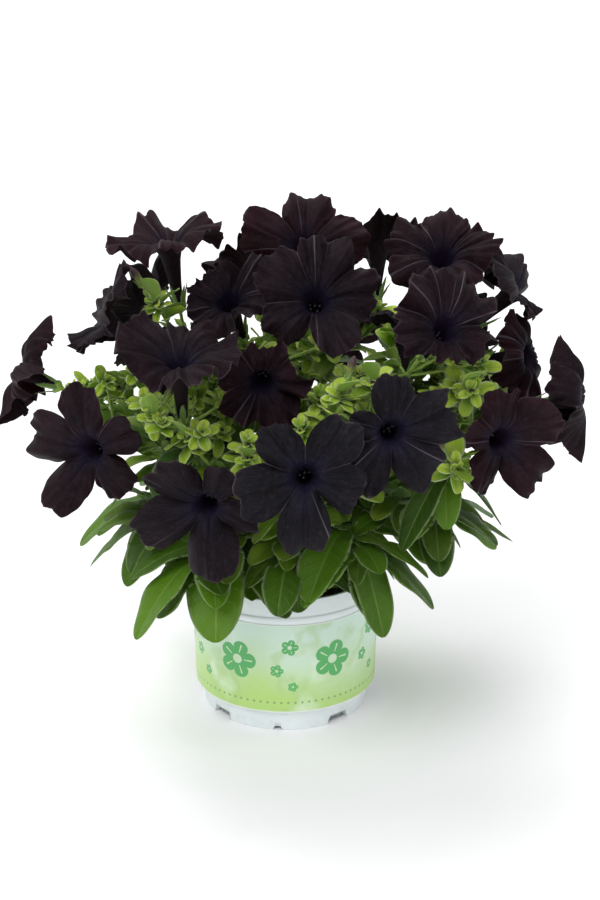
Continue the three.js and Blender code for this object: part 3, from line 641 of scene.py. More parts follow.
def limb_relief(bloom, index, phi, s):
    """How far the petal stands off its plain form in mm, and how strongly each place shows as a pale line of
    down and painted highlight.
    """
    form = FORMS[bloom["form"]]
    wild = form["ruffle"] / CALM_RUFFLE
    lobe, seam, across, drawn = lobes_at(bloom, index, phi)
    aside = np.abs(across)

    def rippled(feature, counts):
        return waves(phi, index, ROW[feature], counts)

    slow = np.sin(np.radians(7 * phi) + TURN * chance(index, 0, 3))
    quick = np.sin(np.radians(12 * phi) + TURN * chance(index, 0, 4))
    seams = mix(drawn("seam", lobe), drawn("seam", (lobe + 1) % LOBES_ROUND), (across + 1) / 2)
    arch = np.sin(np.pi * np.clip(s, 0, 1)) ** 0.7
    off = form["ruffle"] * (0.25 + 0.85 * wild) * (slow + 0.5 * quick) * s * s
    off = off - RISE["hollow"] * s * across * across
    off = off + RISE["seam"] * wild * seams * s ** 1.6
    off = off + RISE["sway"] * rippled("sway", (3, 5)) * s * s
    off = off + RISE["ridge"] * drawn("ridge", lobe) * (1 - np.sqrt(across ** 2 + 0.004)) * s ** 1.5
    off = off + RISE["pillow"] * np.sin(np.pi * aside) * s * (1.5 - s)
    off = off - RISE["midrib"] * np.exp(-(across / 0.07) ** 2) * arch
    off = off + (1.2 + 4.4 * drawn("seam_crest", seam)) * crest(1 - aside, 0.11) * s * (1.35 - 0.6 * s)
    off = off + RISE["crease"] * wild * s * rippled("creases", (23, 31))
    twist = np.sin(np.radians(5 * phi) + 9 * s + TURN * chance(index, 1, ROW["twist"]))
    off = off + RISE["twist"] * wild * s * twist
    frills = RISE["frills"] * rippled("frills", (9, 19))
    frills = frills + RISE["fine_frills"] * rippled("fine_frills", (29, 37))
    off = off + s ** 4 * wild * frills
    # the crest lines that the petal finish paints pale grey, as down and as painted highlight
    down_and_highlight_lines = np.maximum(0.8 * crest(1 - aside, 0.05), 0.6 * crest(aside, 0.03))
    for k in range(FOLDS):
        at = 360 / FOLDS * k + 36 * chance(index, k, ROW["fold_place"])
        away = np.abs((phi - at + 180) % 360 - 180)
        high = spread(index, k, ROW["fold"])
        width = 5 + 6 * chance(index, k, ROW["fold_width"])
        off = off + RISE["fold"] * wild * high * crest(away, width) * s ** 1.4
        down_and_highlight_lines = np.maximum(down_and_highlight_lines, min(1, max(0, 2 * high)) * crest(away, 1.6))
    return off, down_and_highlight_lines


def petal_points(bloom, index, phi, s, lift):
    """Points of the corolla, lift millimetres off its face, and the notes that the petal finish reads."""
    form = FORMS[bloom["form"]]
    at = bloom_frame(bloom)
    wild = form["ruffle"] / CALM_RUFFLE
    lobe, _, across, drawn = lobes_at(bloom, index, phi)
    middle = 1 - across * across
    length = limb_length(bloom, index, phi, s)
    off, down_and_highlight_lines = limb_relief(bloom, index, phi, s)
    end = form["end"] + form["tilt"] * drawn("tilt", lobe) * middle + 7 * across * across
    r = np.full_like(s, TUBE["throat"])
    w = np.zeros_like(s)
    for i in range(SLOPE_STEPS):
        t = (i + 0.5) / SLOPE_STEPS * s
        bend = (6 + 44 * wild * drawn("bend", lobe)) * middle * t ** 2.5
        mouth = 0.4 + 0.6 * np.clip(t / 0.2, 0, 1) ** 0.7
        slope = np.radians(mix(form["start"], end, 1 - (1 - t) ** 2) * mouth + bend)
        r = r + np.sin(slope) * length * s / SLOPE_STEPS
        w = w + np.cos(slope) * length * s / SLOPE_STEPS
    r = (r - np.cos(slope) * (off + lift))[..., None]
    w = (w + np.sin(slope) * (off + lift))[..., None]
    turned = np.radians(phi)[..., None]
    where = at["throat"] + at["side"] * r * np.cos(turned) + at["top"] * r * np.sin(turned) + at["out"] * w
    return where, np.stack([across, s, down_and_highlight_lines], axis=-1)


def tube_points(bloom, phi, v, shrink):
    """Points of the tube: v runs from 0 at its foot to 1 at the throat."""
    at = bloom_frame(bloom)
    axis = unit(mix(at["over"], at["top"], v[..., None]))
    radius = mix(TUBE["base"], TUBE["throat"], v ** 1.5) - shrink
    ribs = 1 + 0.035 * np.cos(np.radians(5 * (phi - bloom["roll"]))) * np.sin(np.pi * v) ** 0.5
    turned = np.radians(phi)[..., None]
    radius = (radius * ribs)[..., None]
    return (mix(at["base"], at["throat"], v[..., None]) + at["side"] * radius * np.cos(turned)
            + axis * radius * np.sin(turned))


relief, _ = limb_relief(BLOOMS[0], 0, np.arange(360.0), np.ones(360))
print("rise and fall of the first bloom's rim in mm:", round(float(np.ptp(relief)), 1))

# %% [markdown]
# A petal is thin, but a single sheet has no inside, and the exported mesh has to be closed. So one skin of
# rings runs up the tube's outside, along the petals' backs, round the rim and down again on the inside.

# %% The skin of a corolla
PETAL_THICK = 0.42
TUBE_SKIN = 0.55
AROUND = 240
LIMB_ROWS = 22
TUBE_OUTSIDE = (0.0, 0.2, 0.45, 0.7, 0.88)
TUBE_INSIDE = (0.88, 0.7, 0.5, 0.32)
RIM = ((0.995, -0.8), (1.0, -0.45), (0.995, -0.1))


def add_corolla(gathered, bloom, index, blue):
    """One closed skin: up the tube's outside, along the petals' backs, round the rim and down the inside."""
    phi = bloom["roll"] + np.arange(AROUND) * 360 / AROUND
    rings, places, growths = [], [], []

    def ring(points, place, under):
        rings.append(points)
        places.append(place)
        growths.append(np.tile([blue, under, 0], (AROUND, 1)))

    def tube_ring(v, shrink, under):
        place = petal_points(bloom, index, phi, np.zeros(AROUND), 0.0)[1]
        place[:, 1] = (v - 1) * 0.6
        ring(tube_points(bloom, phi, np.full(AROUND, v), shrink), place, under)

    def limb_ring(s, lift, under):
        ring(*petal_points(bloom, index, phi, np.full(AROUND, s), lift), under)

    for v in TUBE_OUTSIDE:
        tube_ring(v, 0.0, 1.0)
    shares = np.linspace(0, 1, LIMB_ROWS)[:-1]
    for s in shares:
        limb_ring(s, -PETAL_THICK, 1.0)
    for s, lift in RIM:
        limb_ring(s, lift * PETAL_THICK, 0.5)
    for s in shares[::-1]:
        limb_ring(s, 0.0, 0.0)
    for v in TUBE_INSIDE:
        tube_ring(v, TUBE_SKIN, 0.0)
    skin = lofted(len(rings), AROUND)
    gathered.add(np.array(rings), skin, PETAL_SLOT, np.concatenate(places), np.concatenate(growths))


print("one corolla has", AROUND * (2 * LIMB_ROWS + 10), "points")

# %% [markdown]
# Small round things such as anthers, crumbs and buds are all one shape: rings along an axis whose radius
# follows a profile. One function makes them, so each needs only its two ends and its profile.

# %% Turned shapes along an axis
def cross_directions(along):
    """Two directions square to a line, or to each line of a list."""
    helper = np.where(np.abs(along[..., 2:3]) < 0.9, UP, point(1, 0, 0))
    one = unit(np.cross(along, helper))
    return one, np.cross(along, one)


def add_turned(gathered, start, end, radii, slot, sides, growth=(0, 0, 0), wrinkle=0.0):
    """Rings from start to end with the given radii. wrinkle gives them five soft ribs."""
    one, two = cross_directions(unit(end - start))
    shares = np.linspace(0, 1, len(radii))
    turns = np.arange(sides) * 2 * np.pi / sides
    circle = np.cos(turns)[:, None] * one + np.sin(turns)[:, None] * two
    circle = circle * (1 + wrinkle * np.cos(5 * turns + 0.8))[:, None]
    rings = np.array([mix(start, end, share) + radius * circle for share, radius in zip(shares, radii)])
    notes = np.stack(np.broadcast_arrays(turns[None, :] / np.pi, shares[:, None], 0.0), axis=-1)
    gathered.add(rings, lofted(len(radii), sides), slot, notes, growth)


def rounded(radius, rows=6):
    """A profile that closes at both ends."""
    shares = np.linspace(0.02, 0.98, rows)
    return radius * (4 * shares * (1 - shares)) ** 0.5


ANTHER_R = 0.72


def add_stamens(gathered, bloom, index):
    """Five stamens in a ring and the stigma, the sixth, in their middle."""
    at = bloom_frame(bloom)
    floor = mix(at["base"], at["throat"], 0.34)
    for i in range(LOBES_ROUND + 1):
        angle = math.radians(bloom["roll"] + LOBE_TURN * i + 20 * spread(index, i, 7))
        aside, depth = (0.0, 8.0) if i == LOBES_ROUND else (2.7, 9.0 + 2.0 * chance(index, i, 8))
        sideways = at["side"] * math.cos(angle) + at["top"] * math.sin(angle)
        head = at["throat"] - at["out"] * depth + sideways * aside
        add_turned(gathered, floor + sideways * aside * 0.4, head, [0.32, 0.28, 0.26], STALK_SLOT, 6)
        lie = unit(at["out"] * 0.7 + sideways * 0.6)
        add_turned(gathered, head - lie * 1.0, head + lie * 1.2, rounded(ANTHER_R), ANTHER_SLOT, 8)


print("an anther's profile:", np.round(rounded(ANTHER_R), 2))

# %% [markdown]
# ## The blooms
# Each bloom replaces the CAD bloom of the same name. The number of the bloom feeds its draws, as in the CAD,
# so the waves and tilts of its lobes are the ones that the CAD model has, and the finer folds are its own.

# %% Twenty-seven blooms
for index, bloom in enumerate(BLOOMS):
    name = bloom["name"]
    gathered = Gathered()
    add_corolla(gathered, bloom, index, BLUE.get(name, chance(index, 1, 9)))
    add_stamens(gathered, bloom, index)
    made = gathered.build("petunia_bloom_" + name, [PETAL, ANTHER, STALK])
    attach(made, "root")
    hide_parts("bloom_" + name)
print("blooms made:", len(BLOOMS), "with", gathered.count, "points each")

# %% [markdown]
# ## Where the stems run
# Each bloom's stem is a smooth curve. The CAD solid follows it in a few straight stretches, and its leaves
# and branches stand on those stretches. Here the stem itself is smooth, and what grows on it is
# moved by a millimetre or two to the nearest point of the smooth line, so nothing floats beside it.

# %% Curves of stems and shoots
# a stem's foot lies this share of its bloom's distance from the middle, and feet this many mm apart
DRAWN_IN = 0.24
FOOT_SPACING = 11
MAIN_STOPS = (0, 0.25, 0.5, 0.75, 1)
BRANCH_STOPS = (0, 0.3, 0.65, 1)
LINE_STEPS = 40
GAP = 0.3


def bezier(controls, t):
    """A point of a curve with three or four control points. t may be an array."""
    t = np.asarray(t, float)[..., None]
    points = list(controls)
    while len(points) > 1:
        points = [mix(a, b, t) for a, b in zip(points, points[1:])]
    return points[0]


def tangent(controls, t):
    t = np.asarray(t, float)
    return unit(bezier(controls, np.minimum(t + 1e-4, 1)) - bezier(controls, np.maximum(t - 1e-4, 0)))


def lengths_along(line):
    """How far each point of a line lies from its start, along the line."""
    return np.concatenate([[0], np.cumsum(np.linalg.norm(np.diff(line, axis=0), axis=1))])


class BentLine:
    """The CAD solid's own line of straight stretches."""

    def __init__(self, points):
        self.points = points
        self.length = sum(np.linalg.norm(b - a) for a, b in zip(points, points[1:]))

    def at(self, share):
        stretches = len(self.points) - 1
        i = min(stretches - 1, math.floor(share * stretches))
        return mix(self.points[i], self.points[i + 1], share * stretches - i)


def stem_feet():
    """Where the stems enter the soil. Feet that are too close push each other apart, little by little."""
    feet = [point(b["at"][0] * DRAWN_IN, b["at"][1] * DRAWN_IN, SOIL_Z) for b in BLOOMS if "on" not in b]
    for _ in range(40):
        for i, a in enumerate(feet):
            for b in feet[i + 1:]:
                between = b - a
                short = FOOT_SPACING - np.linalg.norm(between)
                if short > 0:
                    push = unit(between) * short / 2
                    a -= push
                    b += push
    return feet


FEET = stem_feet()
mains = [bloom["name"] for bloom in BLOOMS if "on" not in bloom]
paths = {}
for bloom in BLOOMS:
    at = bloom_frame(bloom)
    end = at["base"] - at["along"] * (GAP + 3)
    parent = paths.get(bloom.get("on"))
    start = parent["line"].at(bloom["from"]) if parent else FEET[mains.index(bloom["name"])] + UP * 4
    leaving = unit(mix(unit(end - start), UP, 0.4)) if parent else UP
    reach = np.linalg.norm(end - start)
    controls = [start, start + leaving * reach * 0.42, end - at["along"] * reach * 0.3, end]
    line = BentLine([bezier(controls, t) for t in (BRANCH_STOPS if parent else MAIN_STOPS)])
    node = parent["node"] if parent else "stem_" + bloom["name"]
    paths[bloom["name"]] = {"controls": controls, "line": line, "node": node, "parent": parent}


def shoot_path(stem, share, end, arch):
    """A side shoot that leaves a stem at a share of its length. arch bends it up, or down where negative."""
    start = paths[stem]["line"].at(share)
    end = point(*end)
    middle = mix(start, end, 0.5) + UP * arch * np.linalg.norm(end - start)
    controls = [start, middle, end]
    shares = np.linspace(0, 1, 201)
    lengths = lengths_along(bezier(controls, shares))
    halfway = np.interp(lengths[-1] / 2, lengths, shares)
    line = BentLine([bezier(controls, t) for t in (0, halfway, 1)])
    return {"controls": controls, "line": line, "node": paths[stem]["node"], "parent": paths[stem]}


young_paths = [shoot_path(*row[:3], -0.12) for row in YOUNG_SHOOTS]
low_paths = [shoot_path(*row, 0.18) for row in LOW_SHOOTS]


def smooth_line(path):
    """The curve in fine steps. A branch's first part leans to the smooth line of the stem that carries it."""
    t = np.linspace(0, 1, LINE_STEPS + 1)
    line = bezier(path["controls"], t)
    if path["parent"]:
        near = path["parent"]["smooth"]
        start = near[np.argmin(np.linalg.norm(near - line[0], axis=1))]
        line = line + (start - line[0]) * ((1 - t) ** 3)[:, None]
    return line


for path in [*paths.values(), *young_paths, *low_paths]:
    path["smooth"] = smooth_line(path)
print("stem feet:", len(FEET), "first foot:", np.round(FEET[0], 1))

# %% [markdown]
# ## The leaves of the CAD model, found again
# The CAD source tries each leaf in up to ten poses until it crosses nothing. Which try it kept is not
# written anywhere, but every try has its own tip. So a leaf is found by asking which of its ten tips
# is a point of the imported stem. A k-d tree answers that quickly, and a leaf with no match was left off.

# %% Tries of each leaf
TRIES = 10
MATCH = 0.05
FIRST_LEAF, LEAF_STEP, LEAF_FREE = 34, 52, 26


def nearest_root(where):
    """The nearest of 23 places along every stem and shoot, and the node that it belongs to."""
    all_paths = [*paths.values(), *low_paths, *young_paths]
    places = [(path["line"].at(i / 24), path["node"]) for path in all_paths for i in range(1, 24)]
    return min(places, key=lambda place: np.linalg.norm(place[0] - where))


def leaf(root, tip, rise, width, roll, fold, kind):
    return {"root": root, "tip": tip, "rise": rise, "width": width, "roll": roll, "fold": fold, "kind": kind}


def front_leaf(number, tip, place, width):
    root, node = nearest_root(point(*place))

    def grow(attempt):
        draw = [spread(300 + number, attempt, k) if attempt else 0 for k in range(6)]
        end = point(*tip) + point(6 * draw[1], 6 * draw[2], 5 * draw[3])
        rise = np.linalg.norm(root - end) * (0.2 + 0.12 * draw[4])
        return leaf(root, end, rise, width * (1 - 0.03 * attempt), 20 * draw[5], 0.2, "old")

    return node, grow


def low_leaf(number, path, i):
    end = path["line"].at(1)
    heading = math.degrees(math.atan2(end[1], end[0]))
    root = path["line"].at((0.97, 0.8, 0.62, 0.45)[i])

    def grow(attempt):
        draw = [spread(200 + number, i + 1, k + 10 * attempt) for k in range(6)]
        length = 54 + 8 * draw[1] - 2 * attempt
        az = heading + (-12, 34, -52, 74)[i] + 16 * draw[2]
        tip = root + facing(az, -32 + 16 * draw[3]) * length
        return leaf(root, tip, length * 0.24, length * (0.44 + 0.05 * draw[4]), 14 * draw[5], 0.2, "old")

    return path["node"], grow


def stem_leaf(number, path, i):
    root = path["line"].at((FIRST_LEAF + LEAF_STEP * i) / path["line"].length)
    high = min(1, max(0, (root[2] - 100) / 120))

    def grow(attempt):
        draw = [spread(number + 1, i + 1, k + 10 * attempt) for k in range(6)]
        reach = mix(46, 30, high) * (1 + 0.12 * draw[1] - 0.03 * attempt)
        az = math.degrees(math.atan2(root[1], root[0])) + 100 * draw[2]
        tip = root + facing(az, mix(-4, 24, high) + 14 * draw[3]) * reach
        return leaf(root, tip, reach * 0.2, reach * (0.44 + 0.04 * draw[4]), 16 * draw[5], 0.22, "middling")

    return path["node"], grow


def young_leaf(number, path, size, i):
    start, end = path["line"].at(0), path["line"].at(1)
    heading = math.degrees(math.atan2(end[1] - start[1], end[0] - start[0]))
    root = path["line"].at(0.97 - 0.07 * i)

    def grow(attempt):
        draw = [spread(100 + number, i + 1, k + 10 * attempt) for k in range(5)]
        length = size * (1.05 - 0.06 * i) * (1 + 0.14 * draw[1])
        tip = root + facing(heading + GOLDEN * i + 30 * draw[2], 44 - 6 * i + 14 * draw[3]) * length
        return leaf(root, tip, length * 0.16, length * 0.5, 12 * draw[4], 0.25, "young")

    return path["node"], grow


def leaf_count(path):
    """Leaves along a stem: the first stands FIRST_LEAF mm up, the last clear of the bloom."""
    return max(0, math.floor((path["line"].length - FIRST_LEAF - LEAF_FREE) / LEAF_STEP) + 1)


candidates = [front_leaf(n, *row) for n, row in enumerate(FRONT_LEAVES)]
for n, path in enumerate(young_paths):
    candidates += [young_leaf(n, path, YOUNG_SHOOTS[n][3], i) for i in range(5)]
for n, path in enumerate(low_paths):
    candidates += [low_leaf(n, path, i) for i in range(4)]
for n, path in enumerate(paths.values()):
    candidates += [stem_leaf(n, path, i) for i in range(leaf_count(path))]


def tree_of(node):
    vertices = frame["nodes"][node].data.vertices
    tree = KDTree(len(vertices))
    for i, vertex in enumerate(vertices):
        tree.insert(vertex.co / MM, i)
    tree.balance()
    return tree


trees = {node: tree_of(node) for node in {path["node"] for path in paths.values()}}
leaves = []
for node, grow in candidates:
    tries = [grow(attempt) for attempt in range(TRIES)]
    kept = next((shape for shape in tries if trees[node].find(shape["tip"])[2] < MATCH), None)
    if kept:
        leaves.append({**kept, "node": node, "number": len(leaves)})
print("leaves asked for:", len(candidates), "found in the CAD model:", len(leaves))

# %% [markdown]
# ## The green of leaves and stems
# Petunia leaves are soft and a little sticky. The upper side is mid green with paler veins that run forward
# from the midrib, the lower side is greyer, and the youngest leaves are nearly yellow. Light comes
# through them, so part of the shader is Translucent. The veins are a zigzag of the place on the leaf.

# %% Leaf, stem, hair and bud finishes
def leaf_finish():
    material, spot = new_material("leaf_blade")
    across, along, under = spot.note("place").parts()
    youth, tone, _ = spot.note("growth").parts()
    blotches = spot.noise(60.0, 4.0, 0.6)
    grain = spot.noise(700.0, 3.0, 0.6)
    aside = across.size()
    side_vein = ((along - aside * 0.17) * 8.0 + (blotches - 0.5) * 0.25).wave().ease(0.085, 0.0)
    midrib = aside.ease(0.1, 0.015)
    veins = (side_vein * 0.55 * aside.ease(1.0, 0.6) + midrib).ease(0.0, 1.1)
    old = (blotches * 0.5 + tone * 0.8).ease(0.15, 1.1).between(tint("1a3603"), tint("588114"))
    fresh = (blotches * 0.4 + along * 0.5 + tone * 0.4).ease(0.2, 1.0).between(tint("5a9610"), tint("e2fa5e"))
    upper = youth.between(old, fresh)
    # a pale rim round each leaf, stronger on young ones: partly its downy margin, partly painted rim light
    rim = (aside + youth * 0.14).ease(0.84, 1.0) * (0.6 + youth * 0.25)
    pale_margin_and_painted_rim_light = rim.between(upper, youth.between(tint("b9cf94"), tint("eef8cc")))
    above = (veins * 0.24).between(pale_margin_and_painted_rim_light, tint("a3bd68"))
    lower = youth.between(tint("5f8555"), tint("a5c45a"))
    below = (veins * 0.4).between(lower, tint("a9c08a"))
    colour = under.between(above, below)
    relief = (grain * 0.3 + blotches * 0.5 - veins * 0.9).bump(0.5, 0.0006)
    blade = {"Specular IOR Level": 0.3, "Sheen Weight": 0.08, "Sheen Roughness": 0.4,
             "Sheen Tint": tint("e4efc8")}
    finish(colour, 0.36 + grain * 0.2, relief, blade, "a8c832", 0.26 + youth * 0.18)
    return material


def stem_finish():
    material, spot = new_material("soft_stem")
    streaks = spot.noise(300.0, 4.0, 0.6)
    colour = streaks.ease(0.25, 0.75).between(tint("6d8f2e"), tint("9db84f"))
    down = {"Sheen Weight": 0.2, "Sheen Tint": tint("e6f0cf")}
    finish(colour, 0.45 + streaks * 0.15, streaks.bump(0.35, 0.0004), down)
    return material


def bud_finish():
    material, spot = new_material("closed_bud")
    turn, along, _ = spot.note("place").parts()
    speckle = spot.noise(500.0, 4.0, 0.6)
    dark = (along + (speckle - 0.5) * 0.3).ease(0.15, 0.75).between(tint("8f9a3c"), tint("33191a"))
    pleat = (turn * 2.5).wave().ease(0.0, 0.25)
    colour = ((1.0 - pleat) * 0.4).between(dark, tint("140a10"))
    relief = (pleat + speckle * 0.4).bump(0.4, 0.0005)
    down = {"Sheen Weight": 0.3, "Sheen Tint": tint("b9adc4")}
    finish(colour, 0.5 + speckle * 0.15, relief, down)
    return material


LEAF = leaf_finish()
STEM = stem_finish()
BUD = bud_finish()
HAIR = plain_finish("fine_hair", "c9d3a8", "e9eed8", 0.5, 600.0)
GREENS = [LEAF, STEM, BUD, HAIR]
LEAF_SLOT, STEM_SLOT, BUD_SLOT, HAIR_SLOT = range(4)
print("greens:", [material.name for material in GREENS])

# %% [markdown]
# ## The shape of a leaf
# The CAD leaf is a curve from root to tip with a width along it, and this one keeps both. It could be a flat
# card with a picture, but cards look like paper from the side. So each leaf is a closed skin: a
# thick stalk that thins into a blade, a rib below, quilting between the veins and a waved edge.

# %% Surface of a leaf
def blade_share(t, kind):
    """Half the width at t, as a share of the greatest half width. A sepal is a strap with a round tip."""
    if kind == "sepal":
        return (1 - t ** 3) ** 0.6 * (0.75 + 0.25 * np.sin(np.pi * t))
    if kind == "tuft":
        return 2.21 * t ** 0.75 * (1 - t) ** 0.45 + 0.2 * (1 - t)
    return 2.62 * t ** 0.9 * (1 - t) ** 0.55 + 0.14 * (1 - t)


def leaf_frame(shape):
    """The three control points of a leaf's midrib and the direction across it."""
    root, tip = shape["root"], shape["tip"]
    bow = shape.get("bow", UP * shape["rise"])
    side = shape["side"] if "side" in shape else unit(np.cross(tip - root, UP))
    return [root, mix(root, tip, 0.42) + bow, tip], side


def leaf_points(shape, t, u, lift):
    """Points of a leaf: t along it, u across it from -1 to 1, and lift off its face."""
    number = shape["number"]
    controls, side = leaf_frame(shape)
    centre = bezier(controls, t)
    along = tangent(controls, t)
    turn = np.radians(shape["roll"] + 14 * spread(number, 3, 3) * t)[..., None]
    turned = (side * np.cos(turn) + np.cross(along, side) * np.sin(turn)
              + along * np.sum(along * side, axis=-1, keepdims=True) * (1 - np.cos(turn)))
    high = np.cross(turned, along)
    half = shape["width"] / 2 * blade_share(t, shape["kind"])
    aside = np.abs(u)
    body = np.sin(np.pi * np.clip(t, 0, 1)) ** 0.5 * shape["width"]
    phase = 6.3 * chance(number, 4, 4) + np.where(u > 0, 1.9, 0)
    ripple = 0.035 * aside ** 3 * np.sin(2 * np.pi * 2.3 * t + phase)
    curl = -0.07 * (0.3 + chance(number, 5, 5)) * aside ** 2.5
    quilt = 0.016 * np.cos(2 * np.pi * 8 * (t - 0.17 * aside)) * 4 * aside * (1 - aside)
    off = lift + shape["fold"] * np.abs(half * u) + (ripple + curl + quilt) * body
    return centre + turned * (half * u)[..., None] + high * off[..., None], turned, high


def add_leaf(gathered, shape, youth, tone):
    """A closed skin over the top and the underside, thick at the stalk and thin towards the tip."""
    rows, columns = DETAIL[shape["kind"]]
    x = np.linspace(0, 1, rows)
    t = (0.997 * (1 - (1 - x) ** 1.25))[:, None]
    top = np.linspace(-1, 1, columns)
    u = np.concatenate([top, top[-2:0:-1]])[None, :]
    under = np.concatenate([np.zeros(columns), np.ones(columns - 2)])[None, :]
    half = shape["width"] / 2 * blade_share(t, shape["kind"])
    stalk = np.exp(-(t / 0.12) ** 2)
    sheet = (0.2 + 0.9 * stalk) * np.sqrt(np.clip(1 - u * u, 0, 1))
    rib = 0.55 * np.exp(-(u * half / 0.9) ** 2) * (1 - t) ** 0.6
    groove = 0.22 * np.exp(-(u * half / 0.8) ** 2) * (1 - stalk)
    lift = np.where(under > 0, -sheet - rib, sheet - groove)
    t, u, under = np.broadcast_arrays(t, u, under)
    points = leaf_points(shape, t, u, lift)[0]
    notes = np.stack([u, t, under], axis=-1)
    gathered.add(points, lofted(rows, u.shape[1]), LEAF_SLOT, notes, (youth, tone, 0))


DETAIL = {"old": (30, 11), "middling": (24, 9), "young": (15, 7), "tuft": (13, 9), "sepal": (9, 5)}
print("points of a large leaf:", DETAIL["old"][0] * (2 * DETAIL["old"][1] - 2))

# %% [markdown]
# ## Hairs
# The whole plant is downy. Seen against the light the down makes a pale rim on stems, sepals and leaf edges.
# A particle system would do it, but its hairs are not part of the mesh. Here each hair is a three-sided
# spike, closed at its foot, so that the meshes have the down too.

# %% Spikes on a surface
draws = np.random.default_rng(7)


def add_hairs(gathered, points, ways, length, radius=0.045):
    """A spike on each point. Its way is a little at random, and so is its length."""
    ways = unit(ways + 0.35 * draws.normal(size=ways.shape))
    one, two = cross_directions(ways)
    count = len(points)
    foot = points - ways * 0.12
    tips = points + ways * (length * draws.uniform(0.6, 1.25, (count, 1)))
    corners = [foot + radius * (math.cos(a) * one + math.sin(a) * two) for a in (0, 2.094, 4.189)]
    spikes = np.stack([*corners, tips], axis=1)
    first = 4 * np.arange(count)[:, None]
    faces = np.concatenate([first + [0, 1, 3], first + [1, 2, 3], first + [2, 0, 3], first + [0, 2, 1]])
    gathered.add(spikes, [faces], HAIR_SLOT)


def add_leaf_hairs(gathered, shape, spacing=1.1):
    """Hairs on both edges and on the upper face of a leaf, about one for every spacing mm of its length."""
    length = np.linalg.norm(shape["tip"] - shape["root"])
    count = max(6, int(length / spacing))
    for edge in (-1.0, 1.0):
        t = draws.uniform(0.04, 0.985, count)
        points, side, high = leaf_points(shape, t, np.full(count, edge), np.zeros(count))
        add_hairs(gathered, points, side * edge + high * 0.25, 0.95)
    t = draws.uniform(0.06, 0.95, count)
    u = draws.uniform(-0.9, 0.9, count)
    points, _, high = leaf_points(shape, t, u, np.full(count, 0.15))
    add_hairs(gathered, points, high, 0.6, 0.035)


print("a hair has 4 points and 4 faces")

# %% [markdown]
# ## Stems
# A stem is a tube along its smooth line. The ring directions are carried from one ring to the next, so the
# tube does not twist where the line turns. It gets thinner towards the bloom, and swells a little
# where leaves join.

# %% Tubes along a line
# the numbers of the sepals begin here, and those of the added leaves further down
SEPAL_NUMBERS = 900


def add_tube(gathered, line, radii, sides=10, down=1.2):
    """A stem along a line. down is the number of hairs for each millimetre of it."""
    along = unit(np.gradient(line, axis=0))
    one = unit(np.cross(along[0], point(0.31, 0.87, 0.38)))
    rings, normals = [], []
    turns = np.arange(sides) * 2 * np.pi / sides
    for middle, way, radius in zip(line, along, radii):
        one = unit(one - way * np.dot(one, way))
        outward = np.cos(turns)[:, None] * one + np.sin(turns)[:, None] * np.cross(way, one)
        rings.append(middle + radius * outward)
        normals.append(outward)
    rings, normals = np.array(rings), np.array(normals)
    gathered.add(rings, lofted(len(rings), sides), STEM_SLOT)
    count = int(lengths_along(line)[-1] * down)
    row = draws.integers(0, len(line) - 1, count)
    column = draws.integers(0, sides, count)
    share = draws.uniform(0, 1, (count, 1))
    spots = mix(rings[row, column], rings[row + 1, column], share)
    add_hairs(gathered, spots, normals[row, column], 1.0)


def add_stem(gathered, bloom):
    """A bloom's stem. A main stem goes on down into the soil, and a branch ends in its parent."""
    path = paths[bloom["name"]]
    line = path["smooth"]
    thick = BRANCH_R if path["parent"] else STEM_R
    if not path["parent"]:
        foot = line[0] * point(1, 1, 0) + UP * (SOIL_Z - 12)
        line = np.concatenate([[foot, mix(foot, line[0], 0.5)], line])
    shares = np.linspace(0, 1, len(line))
    knots = 1 + 0.07 * np.cos(shares * 40 + bloom["roll"])
    add_tube(gathered, line, mix(thick, PEDICEL_R, shares) * knots, 12, 1.6)


def add_calyx(gathered, base, along, side, number, size=1.0, spread_out=1.0):
    """The green cup under a bloom or bud, and its five narrow sepals."""
    over = unit(np.cross(along, side))
    across = np.cross(over, along)
    back, front = base - along * CALYX["back"] * size, base + along * CALYX["front"] * size
    add_turned(gathered, back, front, CALYX_CUP * size, STEM_SLOT, 15, wrinkle=0.05)
    for i in range(LOBES_ROUND):
        angle = math.radians(LOBE_TURN * i)
        outward = across * math.cos(angle) + over * math.sin(angle)
        curl = 1 + 0.35 * spread(number, i, 11)
        root = base + (along * CALYX["root"] + outward * CALYX["root_r"]) * size
        reach = CALYX["tip"] * (1 + 0.14 * spread(number, i, 12))
        tip = base + (along * reach + outward * CALYX["tip_r"] * spread_out * curl) * size
        way = unit(tip - root)
        inward = unit(-outward + way * np.dot(outward, way))
        shape = {**leaf(root, tip, 0, CALYX["sepal"] * size, 0, 0.1, "sepal"),
                 "bow": outward * -0.6 * size * curl, "side": np.cross(way, inward),
                 "number": SEPAL_NUMBERS + 7 * number + i}
        add_leaf(gathered, shape, 0.35, 0.5)
        add_leaf_hairs(gathered, shape, 0.6)


print("rows of a stem:", len(paths[mains[0]]["smooth"]) + 2)

# %% [markdown]
# ## Room between the leaves
# A real petunia is crowded: the CAD model carries the leaves that count, and this scene adds the smaller ones
# between them. To keep new leaves out of the petals, space is cut into small cubes, and a set
# remembers which cubes petals and leaves already take. A new leaf tries a few poses until it finds room.

# %% Taken space
class Crowd:
    """A set of the small cubes of space that something takes."""

    CUBE = 4.0

    def __init__(self):
        self.cubes = set()

    def keys(self, points):
        return {tuple(key) for key in np.floor(points.reshape(-1, 3) / self.CUBE).astype(int).tolist()}

    def take(self, points):
        self.cubes |= self.keys(points)

    def free(self, points):
        return self.cubes.isdisjoint(self.keys(points))


def probes(shape, low=0.3):
    """Points all over a leaf, from the share low of its length to its tip."""
    t, u = np.meshgrid(np.linspace(low, 1, 9), (-0.8, -0.4, 0, 0.4, 0.8))
    return leaf_points(shape, t, u, np.zeros_like(t))[0]


